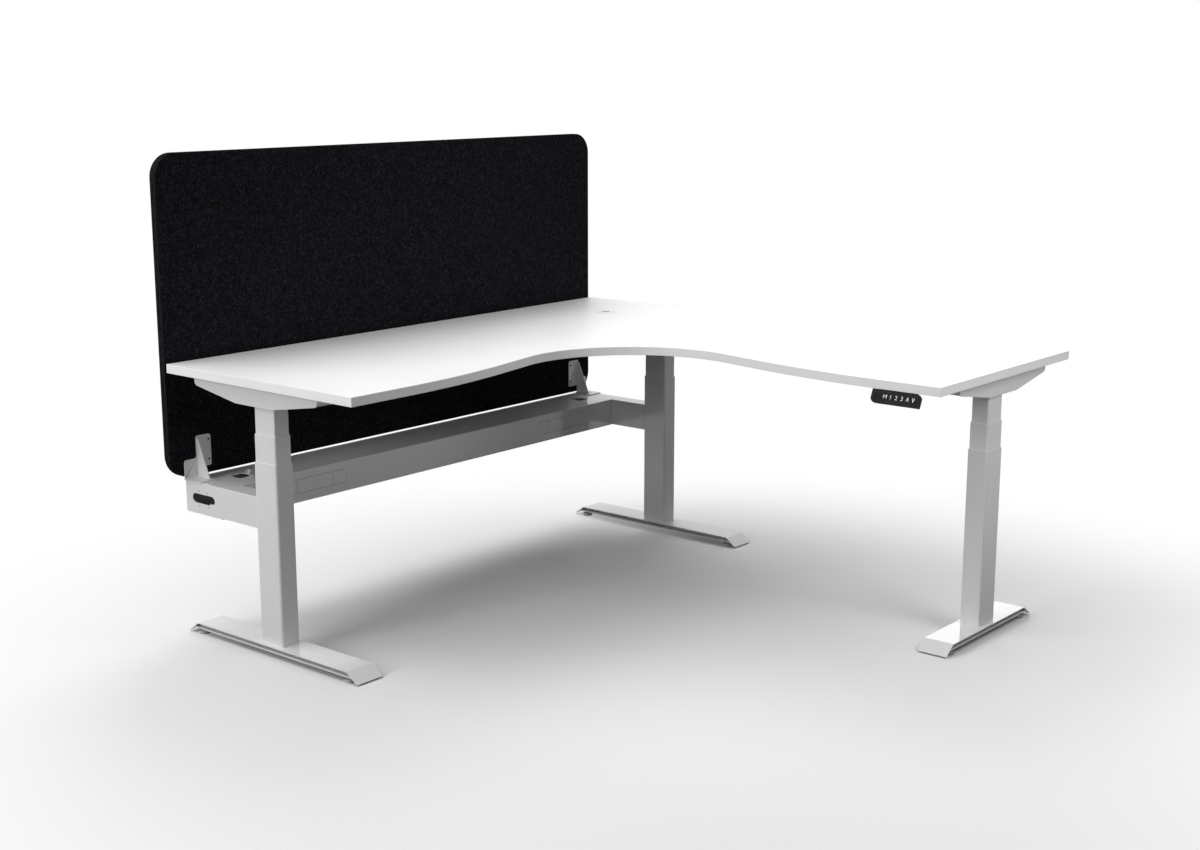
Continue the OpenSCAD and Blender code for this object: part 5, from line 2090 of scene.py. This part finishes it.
    def build(self) -> None:
        """Make the handset and hang each key on its own body."""
        seat = self.seat()
        mid = self.face / 2
        self.housing().dress(
            "handset_shell", MOULDED_ABS, "desk_top", "handset_housing", edge=0.25
        )
        width, height, deep = self.window
        window = Workpiece.block(
            (self.window_x - width / 2, mid - height / 2, -deep),
            (self.window_x + width / 2, mid + height / 2, 0.0),
        )
        window.put(seat).dress(
            "display_window", SMOKED_ACRYLIC, "desk_top", "handset_window", edge=0.2
        )
        width, height, deep = self.key
        cap = Workpiece.block(
            (-width / 2, mid - height / 2, self.proud - deep),
            (width / 2, mid + height / 2, self.proud),
        )
        cap.round(along(Axis.Z), self.key_r, 3)
        cap.round(spot(z=self.proud), self.key_rim_r, 2)
        for number, key in enumerate(Key):
            name = key.name.lower()
            cap.copy().move(x=self.key_x(number)).put(seat).dress(
                f"{name}_key_cap", MOULDED_ABS, f"{name}_button", f"key_{name}", edge=0.0
            )
            if key in (Key.UP, Key.DOWN):
                legend = self.chevron(key is Key.UP)
            else:
                legend = self.letter(key.value)
            legend.move(self.key_x(number), mid, self.proud).put(seat).dress(
                f"{name}_key_legend", LEGEND_INK, f"{name}_button", edge=0.0
            )
        cap.scrap()
        screws = [(place, (0, 0, 1)) for place in self.screw_places()]
        Hardware(4.0, 3.8).lay_out(screws).dress(
            "handset_pan_screws", ZINC, "desk_top", "board_screws", edge=0.0
        )


@dataclass
class ControlBox:
    """The control box between the rails, with its row of sockets.

    ``lid_line`` gives the width of the lid's rim and how deep the face inside it is sunk.
    """

    middle: tuple[float, float] = (-975.0, -335.0)
    size: tuple[float, float, float] = (240.0, 92.0, 36.0)
    flange: float = 12.0
    wall: float = 3.0
    corner_r: float = 6.0
    rim_r: float = 2.0
    lid_line: tuple[float, float] = (5.0, 0.7)
    widths: tuple[float, ...] = (28.0, 18.0, 18.0, 18.0, 14.0)
    heights: tuple[float, ...] = (21.0, 14.0, 14.0, 14.0, 14.0)
    gap: float = 9.0
    deep: float = 12.0

    def build(self) -> None:
        """Mould the case, cut its sockets and sink its lid line."""
        length, depth, height = self.size
        x, y = self.middle
        low = UNDERSIDE - height
        case = Workpiece.block(
            (x - length / 2, y - depth / 2, low), (x + length / 2, y + depth / 2, UNDERSIDE)
        )
        case.round(along(Axis.Z), self.corner_r, 6)
        case.round(spot(z=low), self.rim_r, 3)
        case.inset(facing(0, 0, -1), self.lid_line[0], -self.lid_line[1])
        ears = Workpiece.block(
            (x - length / 2 - self.flange, y - depth / 4, UNDERSIDE - self.wall),
            (x + length / 2 + self.flange, y + depth / 4, UNDERSIDE),
        )
        ears.round(along(Axis.Z), self.corner_r, 5)
        case.weld(ears)
        left = x - (sum(self.widths) + self.gap * (len(self.widths) - 1)) / 2
        face = y + depth / 2
        mid = UNDERSIDE - height / 2
        sockets = []
        for width, tall in zip(self.widths, self.heights):
            sockets.append(Workpiece.block(
                (left, face - self.deep, mid - tall / 2),
                (left + width, face + SLACK, mid + tall / 2),
            ))
            left += width + self.gap
        case.cut(*sockets)
        case.dress("control_case", MOULDED_ABS, "desk_top", "control_box", edge=0.4)


@dataclass
class InnerParts:
    """The CAD nodes inside the columns, which keep their solids and get a finish."""

    finishes: dict[str, Finish] = field(default_factory=lambda: {
        "_spindle": BARE_STEEL, "_stage_guides": ACETAL, "outer_glide_pads": ACETAL,
    })

    def build(self) -> None:
        """Give each carried-over node its material."""
        for name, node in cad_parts.items():
            for ending, finish in self.finishes.items():
                if name.endswith(ending):
                    node.material_slots[0].material = finish.material()
                    log.info("%s keeps its solid in %s", name, finish.name)


# The studio


@dataclass(frozen=True)
class Lamp:
    """One soft square lamp: where it hangs, where it points, its side and its power."""

    name: str
    at: Place
    to: Place
    size: float
    watts: float

    def hang(self) -> None:
        """Hang the lamp in the scene."""
        aim = (Vector(self.to) - Vector(self.at)).to_track_quat("-Z", "Y").to_euler()
        bpy.ops.object.light_add(type="AREA", location=self.at, rotation=aim)
        lamp = bpy.context.object
        lamp.name = self.name
        lamp.data.shape = "SQUARE"
        lamp.data.size = self.size
        lamp.data.energy = self.watts


@dataclass
class Studio:
    """A white floor and sky, a camera at the photograph's place and its lamps.

    The floor lights the desk less than it shows (``floor_bounce``) and so does the sky
    (``sky``), because little light comes from below and around in the photograph.
    """

    camera_at: Place = (-3.6671, -2.9763, 1.5719)
    camera_turn: Place = (78.06, 0.0, -50.13)
    lens: float = 51.08
    sky: float = 0.06
    floor_half: float = 30.0
    floor_tone: str = "#ececec"
    floor_bounce: str = "#626263"
    # Past the fade the floor shows plain white instead of its lit shading. Because the fade's
    # middle is set off the desk's middle, part of the floor shadow round the desk is painted over
    # with white, which is painted light.
    fade: tuple[float, float] = (1.1, 2.4)
    fade_at: tuple[float, float] = (-0.30, -0.35)
    lamps: tuple[Lamp, ...] = (
        Lamp("key_lamp", (-3.2, 2.9, 4.9), (-0.6, 0.3, 0.77), 4.5, 165.0),
        Lamp("rear_lamp", (2.6, 2.6, 4.6), (0.3, 0.0, 0.77), 3.0, 90.0),
        Lamp("right_lamp", (5.5, 1.2, 2.4), (0.8, 0.5, 0.2), 3.0, 45.0),
        Lamp("top_lamp", (0.0, 0.4, 4.4), (0.0, 0.4, 0.0), 7.5, 115.0),
        Lamp("side_lamp", (-6.0, 0.7, 2.2), (-0.9, 0.4, 0.2), 2.2, 130.0),
        Lamp("front_lamp", (0.3, -2.1, 1.5), (0.5, -0.9, 0.2), 0.9, 11.0),
    )

    def set_camera(self) -> None:
        """Set the camera up where the photograph was taken."""
        bpy.ops.object.camera_add(
            location=self.camera_at, rotation=[math.radians(a) for a in self.camera_turn]
        )
        camera = bpy.context.object
        camera.data.lens = self.lens
        bpy.context.scene.camera = camera

    def set_sky(self) -> None:
        """Give the world a low level of light, but white where it is seen or mirrored."""
        world = bpy.data.worlds.new("studio")
        bpy.context.scene.world = world
        world.use_nodes = True
        tree = world.node_tree
        tree.nodes.clear()
        rays = add_node(tree, "ShaderNodeLightPath")
        level = ramp(tree, rays.outputs["Is Diffuse Ray"], end=(1.0, self.sky))
        sky = add_node(
            tree, "ShaderNodeBackground", {"Color": (1.0, 1.0, 1.0, 1.0)},
            {"Strength": level},
        )
        add_node(tree, "ShaderNodeOutputWorld", links={"Surface": sky.outputs[0]})

    def set_floor(self) -> None:
        """Lay the pale floor, which turns into the white background further out."""
        release()
        bpy.ops.mesh.primitive_plane_add(size=2 * self.floor_half)
        floor = bpy.context.object
        floor.name = "studio_floor"
        material = bpy.data.materials.new("pale_studio_floor")
        material.use_nodes = True
        tree = material.node_tree
        tree.nodes.clear()
        rays = add_node(tree, "ShaderNodeLightPath")
        place = add_node(tree, "ShaderNodeTexCoord").outputs["Object"]
        centre = add_node(
            tree, "ShaderNodeMapping", {"Location": [-c for c in self.fade_at] + [0.0]},
            {"Vector": place},
        ).outputs["Vector"]
        radius = add_node(
            tree, "ShaderNodeVectorMath", links={0: centre}, operation="LENGTH"
        )
        fade = add_node(
            tree, "ShaderNodeMapRange",
            {"From Min": self.fade[0], "From Max": self.fade[1]},
            {"Value": radius.outputs["Value"]}, interpolation_type="SMOOTHSTEP",
        )
        unlit = add_node(
            tree, "ShaderNodeMapRange", {"To Max": 0.0},
            {"Value": rays.outputs["Is Diffuse Ray"], "To Min": fade.outputs["Result"]},
        )
        tone = add_node(
            tree, "ShaderNodeMix",
            {6: linear(self.floor_tone), 7: linear(self.floor_bounce)},
            {0: rays.outputs["Is Diffuse Ray"]}, data_type="RGBA",
        )
        matt = add_node(
            tree, "ShaderNodeBsdfDiffuse", links={"Color": tone.outputs[2]}
        )
        # Camera-only white, which paints over part of the floor shadow: painted light.
        white = add_node(tree, "ShaderNodeEmission", {"Color": (1.0, 1.0, 1.0, 1.0)})
        mixed = add_node(
            tree, "ShaderNodeMixShader",
            links={0: unlit.outputs[0], 1: matt.outputs[0], 2: white.outputs[0]},
        )
        add_node(tree, "ShaderNodeOutputMaterial", links={"Surface": mixed.outputs[0]})
        floor.data.materials.append(material)

    def build(self) -> None:
        """Set up the camera, the lamps, the world and the floor."""
        self.set_camera()
        for lamp in self.lamps:
            lamp.hang()
        self.set_sky()
        self.set_floor()
        bpy.context.scene.view_settings.view_transform = "Standard"


def main() -> None:
    """Build the studio and the workstation, and keep the hidden CAD parts beside the new pieces.
    """
    logging.basicConfig(level=logging.INFO, format="%(message)s")
    builders = (
        Studio(), Worktop(), LiftingColumns(), Feet(), UnderFrame(), CableBeam(),
        PrivacyScreen(), Handset(), ControlBox(), InnerParts(),
    )
    for builder in builders:
        builder.build()
        log.info("%s is built", type(builder).__name__)
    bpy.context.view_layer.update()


if __name__ == "__main__":
    main()
